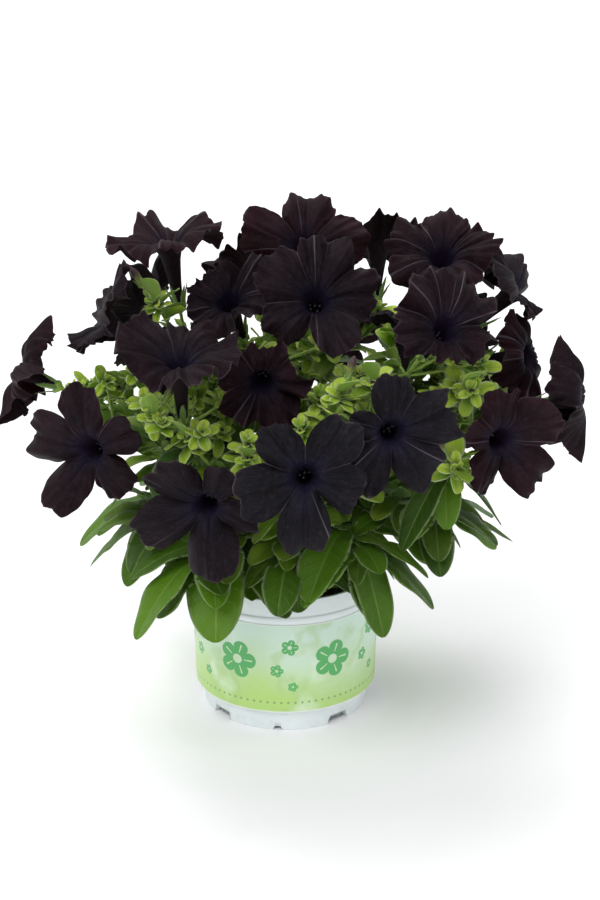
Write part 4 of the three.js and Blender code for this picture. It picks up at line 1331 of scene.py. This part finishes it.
petal_crowd = Crowd()
for index, bloom in enumerate(BLOOMS):
    phi, s = np.meshgrid(np.arange(0, 360, 5.0), np.linspace(0, 1, 13))
    petal_crowd.take(petal_points(bloom, index, phi, s, 0.0)[0])
    phi, v = np.meshgrid(np.arange(0, 360, 40.0), np.linspace(0, 1, 9))
    petal_crowd.take(tube_points(bloom, phi, v, 0.0))
leaf_crowd, named_crowd = Crowd(), Crowd()
for shape in leaves:
    leaf_crowd.take(probes(shape))
    named_crowd.take(probes(shape, 0.45))
print("cubes taken by petals:", len(petal_crowd.cubes), "and by leaves:", len(leaf_crowd.cubes))

# %% [markdown]
# ## More leaves
# The plant's middle is full of leaves that nobody counts, but a gap there shows the wall behind it. So
# a first rule adds leaves along every stem at turns of the golden angle: small and bright near the top,
# broad and dark below, where their darker colour is partly older green and partly painted shade. A second
# rule hangs more leaves from the low shoots, outside the pot.
# All draws come from one seeded generator, so the plant is the same on every run.

# %% Leaves along stems and round the rim
ADDED_NUMBERS = 2000
LOWEST_LEAF = 70
POT_ROOM = 2
# an added leaf keeps clear of the petals, and either of every leaf or only of the CAD model's leaves
SPARSE = (petal_crowd, leaf_crowd)
DENSE = (petal_crowd, named_crowd)
added = []


def clear_of_pot(points):
    """True where every point is outside the rim or above it, and none hangs too low."""
    outside = np.hypot(points[..., 0], points[..., 1]) > POT["rim"] + POT_ROOM
    above = points[..., 2] > POT["height"] + POT_ROOM
    return np.all(outside | above) and points[..., 2].min() > LOWEST_LEAF


def try_leaf(node, make, tries, crowds, youth, tone, low=0.3):
    """Adds the first try whose outer part, from the share low on, is clear of the pot and the crowds."""
    for attempt in range(tries):
        shape = {**make(attempt), "node": node, "number": ADDED_NUMBERS + len(added), "youth": youth,
                 "tone": tone}
        spots = probes(shape, low)
        if all(crowd.free(spots) for crowd in crowds) and clear_of_pot(spots):
            leaf_crowd.take(probes(shape, 0.5))
            added.append(shape)
            return


def drawn_leaf(root, way, reach, rise, broad, rolled, fold, kind):
    """A leaf that way from root. broad is the range of width over length, and rolled the largest roll."""
    width = reach * draws.uniform(*broad)
    return leaf(root, root + way * reach, reach * rise, width, draws.uniform(-rolled, rolled), fold, kind)


def steps_along(line, first, last, step):
    """Points every so many millimetres along a line, from first to a share last of its length."""
    lengths = lengths_along(line)
    for far in np.arange(first, lengths[-1] * last, step):
        yield np.array([np.interp(far, lengths, line[:, k]) for k in range(3)])


def upper_leaves(path):
    """Leaves all along a stem: large in the shade, small and bright near the top."""
    turn = draws.uniform(0, 360)
    for root in steps_along(path["smooth"], 20, 0.94, 9.0):
        high = min(1, max(0, (root[2] - 110) / 130))
        turn += GOLDEN

        def make(attempt):
            reach = mix(32, 16, high) * draws.uniform(0.75, 1.2) * (1 - 0.04 * attempt)
            way = facing(turn + draws.uniform(-50, 50), mix(5, 38, high) + draws.uniform(-25, 25))
            kind = "tuft" if reach < 22 else "young"
            return drawn_leaf(root, way, reach, 0.16, (0.46, 0.56), 25, 0.22, kind)

        youth = np.clip(high * 0.75 + draws.uniform(-0.3, 0.2), 0, 1)
        try_leaf(path["node"], make, 7, SPARSE, youth, draws.uniform(0, 1))


def shade_leaves(path):
    """Broad leaves along the lower part of a stem, which may touch one another."""
    turn = draws.uniform(0, 360)
    for root in steps_along(path["smooth"], 14, 0.7, 8.0):
        turn += GOLDEN

        def make(attempt):
            reach = draws.uniform(27, 44) * (1 - 0.05 * attempt)
            way = facing(turn + draws.uniform(-40, 40), draws.uniform(-20, 34))
            return drawn_leaf(root, way, reach, 0.2, (0.42, 0.52), 30, 0.2, "young")

        # a lower tone darkens these leaves: partly older leaves' green, partly painted shade
        youth, tone = draws.uniform(0, 0.3), draws.uniform(0, 0.7)
        try_leaf(path["node"], make, 8, DENSE, youth, tone, 0.5)


def rim_leaves(path):
    """Seven leaves that hang from the outer part of a low shoot, outside the pot."""
    heading = math.degrees(math.atan2(path["smooth"][-1][1], path["smooth"][-1][0]))
    for i in range(7):
        root = path["smooth"][-1 - 4 * i]

        def make(attempt):
            reach = draws.uniform(34, 50) * (1 - 0.04 * attempt)
            way = facing(heading + draws.uniform(-75, 75), draws.uniform(-52, -6))
            return drawn_leaf(root, way, reach, 0.24, (0.4, 0.5), 20, 0.2, "middling")

        youth, tone = draws.uniform(0, 0.15), draws.uniform(0, 1)
        try_leaf(path["node"], make, 12, DENSE, youth, tone, 0.5)


for path in [*paths.values(), *low_paths, *young_paths]:
    upper_leaves(path)
for path in paths.values():
    shade_leaves(path)
for path in low_paths:
    rim_leaves(path)
print("leaves of the CAD model:", len(leaves), "leaves added:", len(added))

# %% [markdown]
# ## Rosettes
# The bright green in the photograph is clusters of small oval leaves with tiny dark buds in their
# middles. Each is a rosette round the end of a shoot: its outer leaves lie flat and the inner ones stand up.
# One stands at the end of every young shoot, and more on short stalks up the stems, wherever no petal is.

# %% Rosettes of oval leaves
RIGHT, BACK = point(1, 0, 0), point(0, 1, 0)
short_stalks, hearts = [], []


def roomy(end, *ways):
    """True where no petal lies 5 mm away in any of these directions."""
    return petal_crowd.free(end + 5 * np.array(ways))


def rosette(node, end, lean, size, count):
    """Leaves round the end of a shoot that leans that way. The first are the outer and largest ones."""
    one, two = cross_directions(lean)
    turn = draws.uniform(0, 360)
    for i in range(count):
        share = i / count
        turn += GOLDEN
        root = end - lean * 8 * (1 - share)

        def make(_):
            reach = size * mix(0.8, 0.34, share) * draws.uniform(0.8, 1.15)
            open_by = math.radians(mix(92, 26, share) + draws.uniform(-16, 16))
            aside = math.radians(turn + draws.uniform(-20, 20))
            outward = one * math.cos(aside) + two * math.sin(aside)
            way = lean * math.cos(open_by) + outward * math.sin(open_by)
            shape = drawn_leaf(root, way, reach, 0, (0.5, 0.62), 16, 0.3, "tuft")
            return {**shape, "bow": lean * reach * 0.2, "side": unit(np.cross(way, lean))}

        try_leaf(node, make, 4, (petal_crowd,), mix(0.66, 1.0, share), draws.uniform(0, 1), 0.4)
    hearts.append({"node": node, "at": end, "lean": lean})


def side_rosette(path, share):
    """A rosette on a short stalk at a share of a stem, if one of eight tries has room."""
    root = path["smooth"][int(share * LINE_STEPS)]
    for _ in range(8):
        lean = facing(draws.uniform(0, 360), draws.uniform(15, 75))
        end = root + lean * draws.uniform(8, 16)
        if roomy(end, lean, UP, -UP, RIGHT, -RIGHT, BACK, -BACK):
            line = mix(root, end, np.linspace(0, 1, 5)[:, None])
            short_stalks.append({"node": path["node"], "line": line})
            rosette(path["node"], end, lean, draws.uniform(14, 19), 9)
            return


# the bright tufts that the photograph shows between the blooms
TUFT_SPOTS = [
    (-75, -80, 223), (-62, -90, 217), (-52, -92, 212), (-39, -84, 212), (-21, -96, 204), (-33, -70, 222),
    (32, -60, 249), (38, -70, 231), (51, -80, 234), (26, -84, 227), (15, -96, 222), (41, -64, 241),
    (89, -60, 243), (97, -70, 231), (111, -80, 234), (118, -60, 240), (-101, -50, 225), (-89, -50, 237),
]


def tuft_at(spot):
    """A rosette near a spot, on a stalk from the nearest place of a stem below it. False without room."""
    low = [(path["node"], place) for path in paths.values() for place in path["smooth"]
           if place[2] < spot[2] - 6]
    for _ in range(16):
        end = spot + 7 * draws.uniform(-1, 1, 3)
        node, root = min(low, key=lambda pair: np.linalg.norm(pair[1] - end))
        line = bezier([root, mix(root, end, 0.6) - 3 * UP, end], np.linspace(0, 1, 9))
        if petal_crowd.free(line[3:]) and roomy(end, UP, RIGHT, -RIGHT):
            short_stalks.append({"node": node, "line": line})
            lean = facing(draws.uniform(-130, -50), draws.uniform(30, 65))
            rosette(node, end, lean, draws.uniform(14, 18), 10)
            return True
    return False


for path, shoot in zip(young_paths, YOUNG_SHOOTS):
    end = path["smooth"][-1]
    rosette(path["node"], end, unit(end - path["smooth"][-9]), shoot[3] * 0.8, 14)
print("tufts placed:", sum(tuft_at(point(*spot)) for spot in TUFT_SPOTS), "of", len(TUFT_SPOTS))
for path in paths.values():
    for share in (0.52, 0.66, 0.78, 0.88):
        side_rosette(path, share)
print("rosettes:", len(hearts), "leaves added in all:", len(added))

# %% [markdown]
# ## Buds
# A rosette's heart holds a few tiny brown-black buds. A few shoots also carry a long one, green at the foot
# and nearly black at the tip, pleated like a furled umbrella, which leans out to where it has room.

# %% Buds
BUD_LENGTH = 13.0
BUD_PROFILE = np.array([0.9, 1.3, 1.5, 1.7, 2.1, 2.4, 2.2, 1.5, 0.5])


def add_heart(gathered, heart):
    """Three tiny hairy buds in the middle of a rosette."""
    for _ in range(3):
        way = unit(heart["lean"] + 0.5 * draws.normal(size=3))
        foot = heart["at"] - heart["lean"] * 2.5
        long = draws.uniform(3.4, 5.2)
        profile = rounded(draws.uniform(0.8, 1.15), 7)
        add_turned(gathered, foot, foot + way * long, profile, BUD_SLOT, 9, wrinkle=0.12)
        spots = foot + way * np.linspace(0.5, 0.95, 8)[:, None] * long
        add_hairs(gathered, spots, way + 0.9 * draws.normal(size=(8, 3)), 1.3)


def add_bud(gathered, path, number):
    """A long bud at the end of a shoot, if one of twelve directions has room. Returns how many were made."""
    end = path["smooth"][-1]
    for _ in range(12):
        way = facing(draws.uniform(0, 360), draws.uniform(35, 80))
        neck = end + way * draws.uniform(7, 13)
        tip = neck + unit(way + 0.3 * UP) * BUD_LENGTH
        if petal_crowd.free(np.linspace(neck, tip, 8)):
            break
    else:
        return 0
    line = bezier([end - UP, mix(end, neck, 0.5) + UP * 1.5, neck], np.linspace(0, 1, 7))
    add_tube(gathered, line, np.full(7, 0.75), 8)
    add_turned(gathered, neck, tip, BUD_PROFILE, BUD_SLOT, 20, wrinkle=0.1)
    along = unit(tip - neck)
    add_calyx(gathered, neck, along, cross_directions(along)[0], 40 + number, 0.45, 0.8)
    return 1


print("bud length:", BUD_LENGTH)

# %% [markdown]
# ## Fifteen leafy stems
# Everything that grows from one foot in the soil becomes one object, with four materials, and replaces the
# CAD stem of that name.

# %% Putting the stems together
YOUTH = {"old": 0.0, "middling": 0.25, "young": 0.8}
FULLER = 1.12


def on_node(node, things):
    """Those of the things that grow from this node's foot."""
    return [thing for thing in things if thing["node"] == node]


buds = 0
for node in sorted(trees):
    gathered = Gathered()
    for index, bloom in enumerate(BLOOMS):
        if paths[bloom["name"]]["node"] == node:
            at = bloom_frame(bloom)
            add_stem(gathered, bloom)
            add_calyx(gathered, at["base"], at["along"], at["side"], index)
    for kind, group in (("young", young_paths), ("low", low_paths)):
        for path in on_node(node, group):
            radii = mix(SHOOT_R[kind] * 0.95, 0.9, np.linspace(0, 1, len(path["smooth"])))
            add_tube(gathered, path["smooth"], radii)
    for stalk in on_node(node, short_stalks):
        add_tube(gathered, stalk["line"], np.linspace(1.0, 0.8, len(stalk["line"])), 8)
    for shape in on_node(node, leaves):
        fuller = {**shape, "width": shape["width"] * FULLER}
        add_leaf(gathered, fuller, YOUTH[shape["kind"]], chance(shape["number"], 6, 6))
        add_leaf_hairs(gathered, fuller)
    for shape in on_node(node, added):
        add_leaf(gathered, shape, shape["youth"], shape["tone"])
        add_leaf_hairs(gathered, shape, 1.4)
    for heart in on_node(node, hearts):
        add_heart(gathered, heart)
    for number, path in enumerate(young_paths):
        if path["node"] == node and number % 3 == 0:
            buds += add_bud(gathered, path, number)
    made = gathered.build("leafy_" + node, GREENS)
    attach(made, "root")
    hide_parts(node)
print("stems:", len(trees), "long buds:", buds)

# %% [markdown]
# ## The pot
# The pot is thin moulded plastic: a foot with notches for air and water, a straight wall, a bead and a rim.
# It is turned like a lathe profile, but the height of the foot's lower edge depends on the angle,
# which makes the notches with no cutting. Only the four drain holes in the floor are cut by a Boolean.

# %% Profile of the pot
POT_COLUMNS = 720
NOTCH_TURN = -5
NOTCHES = ((7.5, 5.5), (2.6, 2.6))
DRAIN_R = 5
DRAIN_AT = 38


def body_r(z):
    """The radius of the pot's body at a height."""
    return mix(POT["body_low"], POT["body_top"], (z - POT["foot_z"]) / (LABEL["high"] - POT["foot_z"]))


def foot_edge(turn):
    """Height of the foot's lower edge at an angle in degrees."""
    steps = (turn + 90 - NOTCH_TURN) / 45
    k = np.round(steps)
    away = np.abs(steps - k) * 45 * np.pi / 180 * POT["foot"]
    half = np.where(k % 2 == 1, NOTCHES[0][0], NOTCHES[1][0])
    tall = np.where(k % 2 == 1, NOTCHES[0][1], NOTCHES[1][1])
    return tall * np.clip((half + 0.4 - away) / 1.4, 0, 1) ** 0.6


def round_z(radius, turns, heights):
    """A ring of points round Z at turns in degrees. heights is one number or one for each point."""
    angles = np.radians(turns)
    return np.stack(np.broadcast_arrays(radius * np.cos(angles), radius * np.sin(angles), heights), axis=1)


def lathe(name, profile, columns, materials, edge=None, closed=False):
    """A profile of radius and height pairs turned round Z. edge lifts the points below height 1."""
    turns = np.arange(columns) * 360 / columns
    lifted = [np.maximum(z, edge(turns)) if edge and z < 1 else z for _, z in profile]
    rings = [round_z(radius, turns, heights) for (radius, _), heights in zip(profile, lifted)]
    gathered = Gathered()
    if closed:
        rings.append(rings[0])
    gathered.add(np.array(rings), lofted(len(rings), columns, not closed), 0)
    made = gathered.build(name, materials)
    if closed:
        weld = made.modifiers.new("weld", "WELD")
        weld.merge_threshold = 1e-6
        apply_modifiers(made)
    return made


def apply_modifiers(made):
    """Turns an object's modifiers into plain mesh."""
    ready = made.evaluated_get(bpy.context.evaluated_depsgraph_get())
    mesh = bpy.data.meshes.new_from_object(ready)
    made.modifiers.clear()
    made.data = mesh


def corner(one, bend, two, count=4):
    """A rounded corner between three profile points."""
    return [tuple(bezier([point(*one), point(*bend), point(*two)], t)) for t in np.linspace(0, 1, count)]


print("foot edge at a wide notch:", foot_edge(np.array([-90 + NOTCH_TURN + 45]))[0])

# %% [markdown]
# The plastic is white with a cool tone. A real pot is never quite clean: it has a faint flow pattern from the
# mould, fine scratches, and a grey film of soil splashes near the foot, so those feed colour and roughness.

# %% Plastic finish
def plastic_finish():
    material, spot = new_material("moulded_white_plastic")
    _, _, height = spot.parts()
    flow = spot.noise(16.0, 3.0, 0.5)
    dust = spot.noise(120.0, 5.0, 0.65)
    scuffs = spot.noise(650.0, 4.0, 0.7)
    low = height.ease(0.03, 0.0)
    specks = (dust + low * 0.14).ease(0.62, 0.8)
    clean = flow.ease(0.3, 0.7).between(tint("ebf3f4"), tint("f3fafb"))
    colour = (specks * (0.06 + low * 0.1)).between(clean, tint("a59c8c"))
    relief = (scuffs * 0.25 + flow * 0.5).bump(0.12, 0.0004)
    skin = {"Specular IOR Level": 0.5, "Subsurface Weight": 0.08, "Subsurface Radius": (0.003, 0.003, 0.003)}
    finish(colour, 0.3 + scuffs * 0.14 + specks * 0.2, relief, skin, "f0f9fb", 0.1)
    return material


PLASTIC = plastic_finish()
print("made", PLASTIC.name)

# %% [markdown]
# A moulded pot has no sharp edge, so every corner of the profile is a short curve. The drain holes could be
# dark spots in the material, but the exported mesh should have them, so four drills cut them.

# %% The pot
wall, foot, foot_z, foot_top, rim, top = (
    POT[key] for key in ("wall", "foot", "foot_z", "foot_top", "rim", "height"))
bead = LABEL["high"] + 1.5
# from the middle of the floor down round the foot, up the outside, over the rim and down the inside
pot_profile = [
    (0.5, FLOOR_Z), (foot - 9, FLOOR_Z), (foot - 3.2, FLOOR_Z),
    *corner((foot - 3, FLOOR_Z - 0.3), (foot - 3, 3), (foot - 3, 1.2), 3),
    *corner((foot - 3, 0.5), (foot - 3, 0), (foot - 2.5, 0)),
    *corner((foot - 0.5, 0), (foot, 0), (foot + 0.05, 0.5)),
    (mix(foot, foot_top, 0.5), foot_z / 2),
    *corner((foot_top, foot_z - 0.6), (foot_top + 0.1, foot_z), (foot_top + 0.6, foot_z + 0.3)),
    *corner((body_r(13) - 0.9, foot_z + 1), (body_r(13), foot_z + 1.3), (body_r(15), 15.6)),
    (body_r(30), 30), (body_r(50), 50), (body_r(70), 70),
    *corner((body_r(bead - 1), bead - 0.6), (body_r(bead), bead + 0.5), (rim + 0.1, bead + 0.8)),
    *corner((rim + 0.4, bead + 1.3), (rim + 0.4, bead + 3.4), (rim + 0.1, bead + 3.8)),
    *corner((rim - 0.3, bead + 4.1), (rim - 0.5, bead + 4.4), (rim - 0.45, bead + 5)),
    *corner((rim - 0.02, top - 0.6), (rim, top), (rim - 0.5, top)),
    *corner((rim - wall + 0.5, top), (rim - wall, top), (rim - wall, top - 0.6)),
    (body_r(60) - wall, 60), (body_r(13) - wall, foot_z + 2),
    *corner((foot - 0.9, FLOOR_Z + wall + 1.5), (foot - 1.2, FLOOR_Z + wall), (foot - 3, FLOOR_Z + wall)),
    (0.5, FLOOR_Z + wall),
]
pot = lathe("nursery_pot", pot_profile, POT_COLUMNS, [PLASTIC], foot_edge)
drills = []
for k in range(1, 8, 2):
    turn = math.radians(-90 + NOTCH_TURN + 45 * k)
    middle = point(DRAIN_AT * math.cos(turn), DRAIN_AT * math.sin(turn), 0)
    gathered = Gathered()
    add_turned(gathered, middle + UP * 3, middle + UP * 12, np.full(2, float(DRAIN_R)), 0, 48)
    drill = gathered.build("drill", [])
    drills.append(drill)
    cut = pot.modifiers.new("drain", "BOOLEAN")
    cut.operation, cut.solver, cut.object = "DIFFERENCE", "EXACT", drill
apply_modifiers(pot)
for drill in drills:
    bpy.data.objects.remove(drill)
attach(pot, "root")
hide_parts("pot")
print("pot points:", len(pot.data.vertices))

# %% [markdown]
# ## The wrap label
# Round the pot runs a printed film. The photograph's label carries a name, which is left off. In its place
# is a plain garden print of the same soft colours: a watercolour wash, pale aqua above and yellow-green
# below, with large and small five-petalled flowers and a row of dots. It is worked out from angle and height.

# %% Print of the label
CELLS = 6
LABEL_R = body_r(45) + 0.6
CELL = 2 * math.pi * LABEL_R / CELLS
DOTS = 14
DOT_HEIGHT = 22.0
# the flowers of each cell: how far off its middle they stand, their height and their radius, in mm;
# the cells of the large ones start half a cell further round
LARGE_FLOWER = (0, 49.0, 13.0)
SMALL_FLOWERS = ((3, 60.0, 5.6), (-5, 44.0, 4.4), (5, 33.0, 3.4))


def blossom(x, y, at_x, at_y, radius):
    """1 on the five petals of a round flower, 0 outside it, in its heart and on the petals' middle lines."""
    aside, above = x - at_x, y - at_y
    away = (aside * aside + above * above) ** 0.5
    turn = above.maths("ARCTAN2", above, aside) * 2.5
    edge = turn.maths("COSINE", turn).size() ** 0.5 * 0.42 + 0.58
    whole = (away / (edge * radius)).ease(1.0, 0.94)
    line = turn.sine().size().ease(0.18, 0.1) * away.ease(radius * 0.32, radius * 0.38)
    line = line * away.ease(radius * 0.82, radius * 0.74)
    heart = away.ease(radius * 0.26, radius * 0.22)
    return whole * (1.0 - line) * (1.0 - heart)


def label_finish():
    material, spot = new_material("printed_film")
    x, y, z = spot.parts()
    arc = y.maths("ARCTAN2", y, x) * LABEL_R
    height = z / MM
    wash = spot.noise(17.0, 4.0, 0.5)
    fibre = spot.noise(420.0, 3.0, 0.6)
    blot = spot.noise(46.0, 3.0, 0.5)
    level = (height + (wash - 0.5) * 60.0).ease(LABEL["low"] + 4, LABEL["high"] - 6)
    base = level.between(tint("b6d97c"), tint("d3ebdc"))
    pooled = ((wash - 0.52).size().ease(0.05, 0.0) * 0.45).between(base, tint("a9cd80"))
    light = (blot.ease(0.52, 0.75) * 0.6).between(pooled, tint("e6f4e4"))

    def along(width, shift):
        """How far into its cell each place lies. Cells of that width repeat round the pot."""
        steps = arc / width + shift
        return steps.maths("FRACT", steps) * width

    def flower(start, aside, above, radius):
        return blossom(start, height, CELL / 2 + aside, above, radius)

    flowers = flower(along(CELL, 0.5), *LARGE_FLOWER)
    middle = along(CELL, 0.0)
    for small in SMALL_FLOWERS:
        flowers = flowers + flower(middle, *small)
    dot_step = CELL / DOTS
    dot = ((along(dot_step, 0.0) - dot_step / 2) ** 2.0 + (height - DOT_HEIGHT) ** 2.0).ease(0.9, 0.5)
    printed = flowers.ease(0.0, 1.0).between(light, tint("55b062"))
    colour = (dot * 0.7).between(printed, tint("6f9a5e"))
    edge = (height - (LABEL["low"] + LABEL["high"]) / 2).size().ease(29.0, 29.6)
    trimmed = edge.between(colour, tint("f2f6ee"))
    film = {"Coat Weight": 0.15 + fibre * 0.1, "Coat Roughness": 0.2}
    finish(trimmed, 0.34 + fibre * 0.12, fibre.bump(0.08, 0.0003), film)
    return material


low, high, thick = LABEL["low"], LABEL["high"], LABEL["thick"]
slack = 0.06
film = [
    (body_r(low) + slack, low), (body_r(low) + thick, low), (body_r(low) + thick + 0.05, low + 0.15),
    (body_r(45) + thick + 0.05, 45), (body_r(high) + thick + 0.05, high - 0.15), (body_r(high) + thick, high),
    (body_r(high) + slack, high), (body_r(45) + slack, 45),
]
label = lathe("wrap_label", film, 360, [label_finish()], closed=True)
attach(label, "root")
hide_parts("label")
print("label points:", len(label.data.vertices))

# %% [markdown]
# ## The soil
# Potting soil is dark peat with bark and a few white grains. Its top is uneven, so the surface is a fine net
# moved by the same waves as in the CAD, and loose crumbs of random size lie on it, a little sunk in.

# %% Soil and crumbs
SOIL_COLUMNS = 144
CRUMBS = 620


def soil_top(x, y):
    """The height of the soil's uneven top."""
    return SOIL_Z + 1.1 * np.sin(x / 7.3) * np.cos(y / 6.1) + 0.8 * np.sin((x + 2 * y) / 4.7)


def soil_finish():
    material, spot = new_material("peat_soil")
    kind, _, _ = spot.note("growth").parts()
    coarse = spot.noise(260.0, 6.0, 0.65)
    fine = spot.noise(1400.0, 4.0, 0.7)
    peat = coarse.ease(0.3, 0.75).between(tint("1b130e"), tint("4a3524"))
    damp = (fine.ease(0.45, 0.8) * 0.5).between(peat, tint("6a4e36"))
    colour = kind.between(damp, tint("d9d4c8"))
    finish(colour, 0.8 + fine * 0.15, (coarse + fine * 0.5).bump(0.9, 0.0012), {})
    return material


gathered = Gathered()
turns = np.arange(SOIL_COLUMNS) * 360 / SOIL_COLUMNS
ground = FLOOR_Z + wall + 0.3
under_soil = ((0.5, ground), (foot - 3.5, ground), (body_r(13) - wall - 0.6, 16.5))
rings = [round_z(radius, turns, z) for radius, z in under_soil]
for radius in np.linspace(body_r(SOIL_Z) - wall - 0.3, 0.6, 40):
    ring = round_z(radius, turns, 0.0)
    x, y = ring[:, 0], ring[:, 1]
    lumps = 0.5 * np.sin(x * 1.7 + 2 * np.sin(y * 1.1)) * np.cos(y * 1.9) + 0.3 * draws.normal(size=len(x))
    ring[:, 2] = soil_top(x, y) + lumps
    rings.append(ring)
gathered.add(np.array(rings), lofted(len(rings), SOIL_COLUMNS), 0)
for _ in range(CRUMBS):
    away = (rim - wall - 4.15) * math.sqrt(draws.uniform(0, 1))
    turn = draws.uniform(0, 2 * math.pi)
    x, y = away * math.cos(turn), away * math.sin(turn)
    size = draws.uniform(0.5, 1.5) ** 1.6
    way = unit(draws.normal(size=3) * point(1, 1, 0.4))
    middle = point(x, y, soil_top(x, y) + size * 0.2)
    white = 1.0 if draws.uniform() < 0.07 else 0.0
    profile = rounded(size * draws.uniform(0.5, 0.9), 5)
    add_turned(gathered, middle - way * size, middle + way * size, profile, 0, 7, (white, 0, 0), 0.18)
soil = gathered.build("potting_soil", [soil_finish()])
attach(soil, "root")
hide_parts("soil")
print("soil points:", len(soil.data.vertices))

# %% [markdown]
# ## Floor and light
# The photograph has a white ground and even daylight. A large pale floor carries a soft shadow, and a plain
# white world lights everything a little. Three wide lamps do the rest: one from behind gives the petals
# their rims, the key comes from the left, and a weak one from the right opens the shadows. The Standard
# view transform keeps white as white as in the photograph.

# %% Studio
def floor_finish():
    material, spot = new_material("pale_floor")
    mottle = spot.noise(3.0, 3.0, 0.5)
    colour = mottle.ease(0.3, 0.7).between(tint("f8f8f8"), tint("fafafa"))
    finish(colour, 0.7 + mottle * 0.1, None, {"Specular IOR Level": 0.2})
    return material


FLOOR_REACH = 12.0
floor_mesh = bpy.data.meshes.new("floor")
corners = [(x * FLOOR_REACH, y * FLOOR_REACH, 0) for x, y in ((-1, -1), (1, -1), (1, 1), (-1, 1))]
floor_mesh.from_pydata(corners, [], [(0, 1, 2, 3)])
floor_mesh.materials.append(floor_finish())
floor = bpy.data.objects.new("floor", floor_mesh)
bpy.context.scene.collection.objects.link(floor)

world = bpy.data.worlds.new("daylight")
world.use_nodes = True
background = world.node_tree.nodes["Background"]
background.inputs["Color"].default_value = (0.97, 0.98, 1.0, 1)
background.inputs["Strength"].default_value = 0.6
bpy.context.scene.world = world
bpy.context.scene.view_settings.view_transform = "Standard"


def lamp(name, az, el, softness, strength):
    """A distant lamp at compass angle az and height el. softness is its width. All are in degrees."""
    light = bpy.data.lights.new(name, "SUN")
    light.angle, light.energy = math.radians(softness), strength
    made = bpy.data.objects.new(name, light)
    made.rotation_euler = (math.radians(90 - el), 0, math.radians(az + 90))
    bpy.context.scene.collection.objects.link(made)


lamp("sky_from_behind", 115, 60, 40, 1.6)
lamp("key_from_left", -125, 50, 35, 1.5)
lamp("fill_from_right", -50, 30, 60, 0.35)

# %% [markdown]
# ## Clearing up
# The default cube, lamp and camera are removed where the file has them.

# %% Spare objects
for spare in [o for o in bpy.data.objects if o.name in ("Cube", "Light", "Camera")]:
    bpy.data.objects.remove(spare)
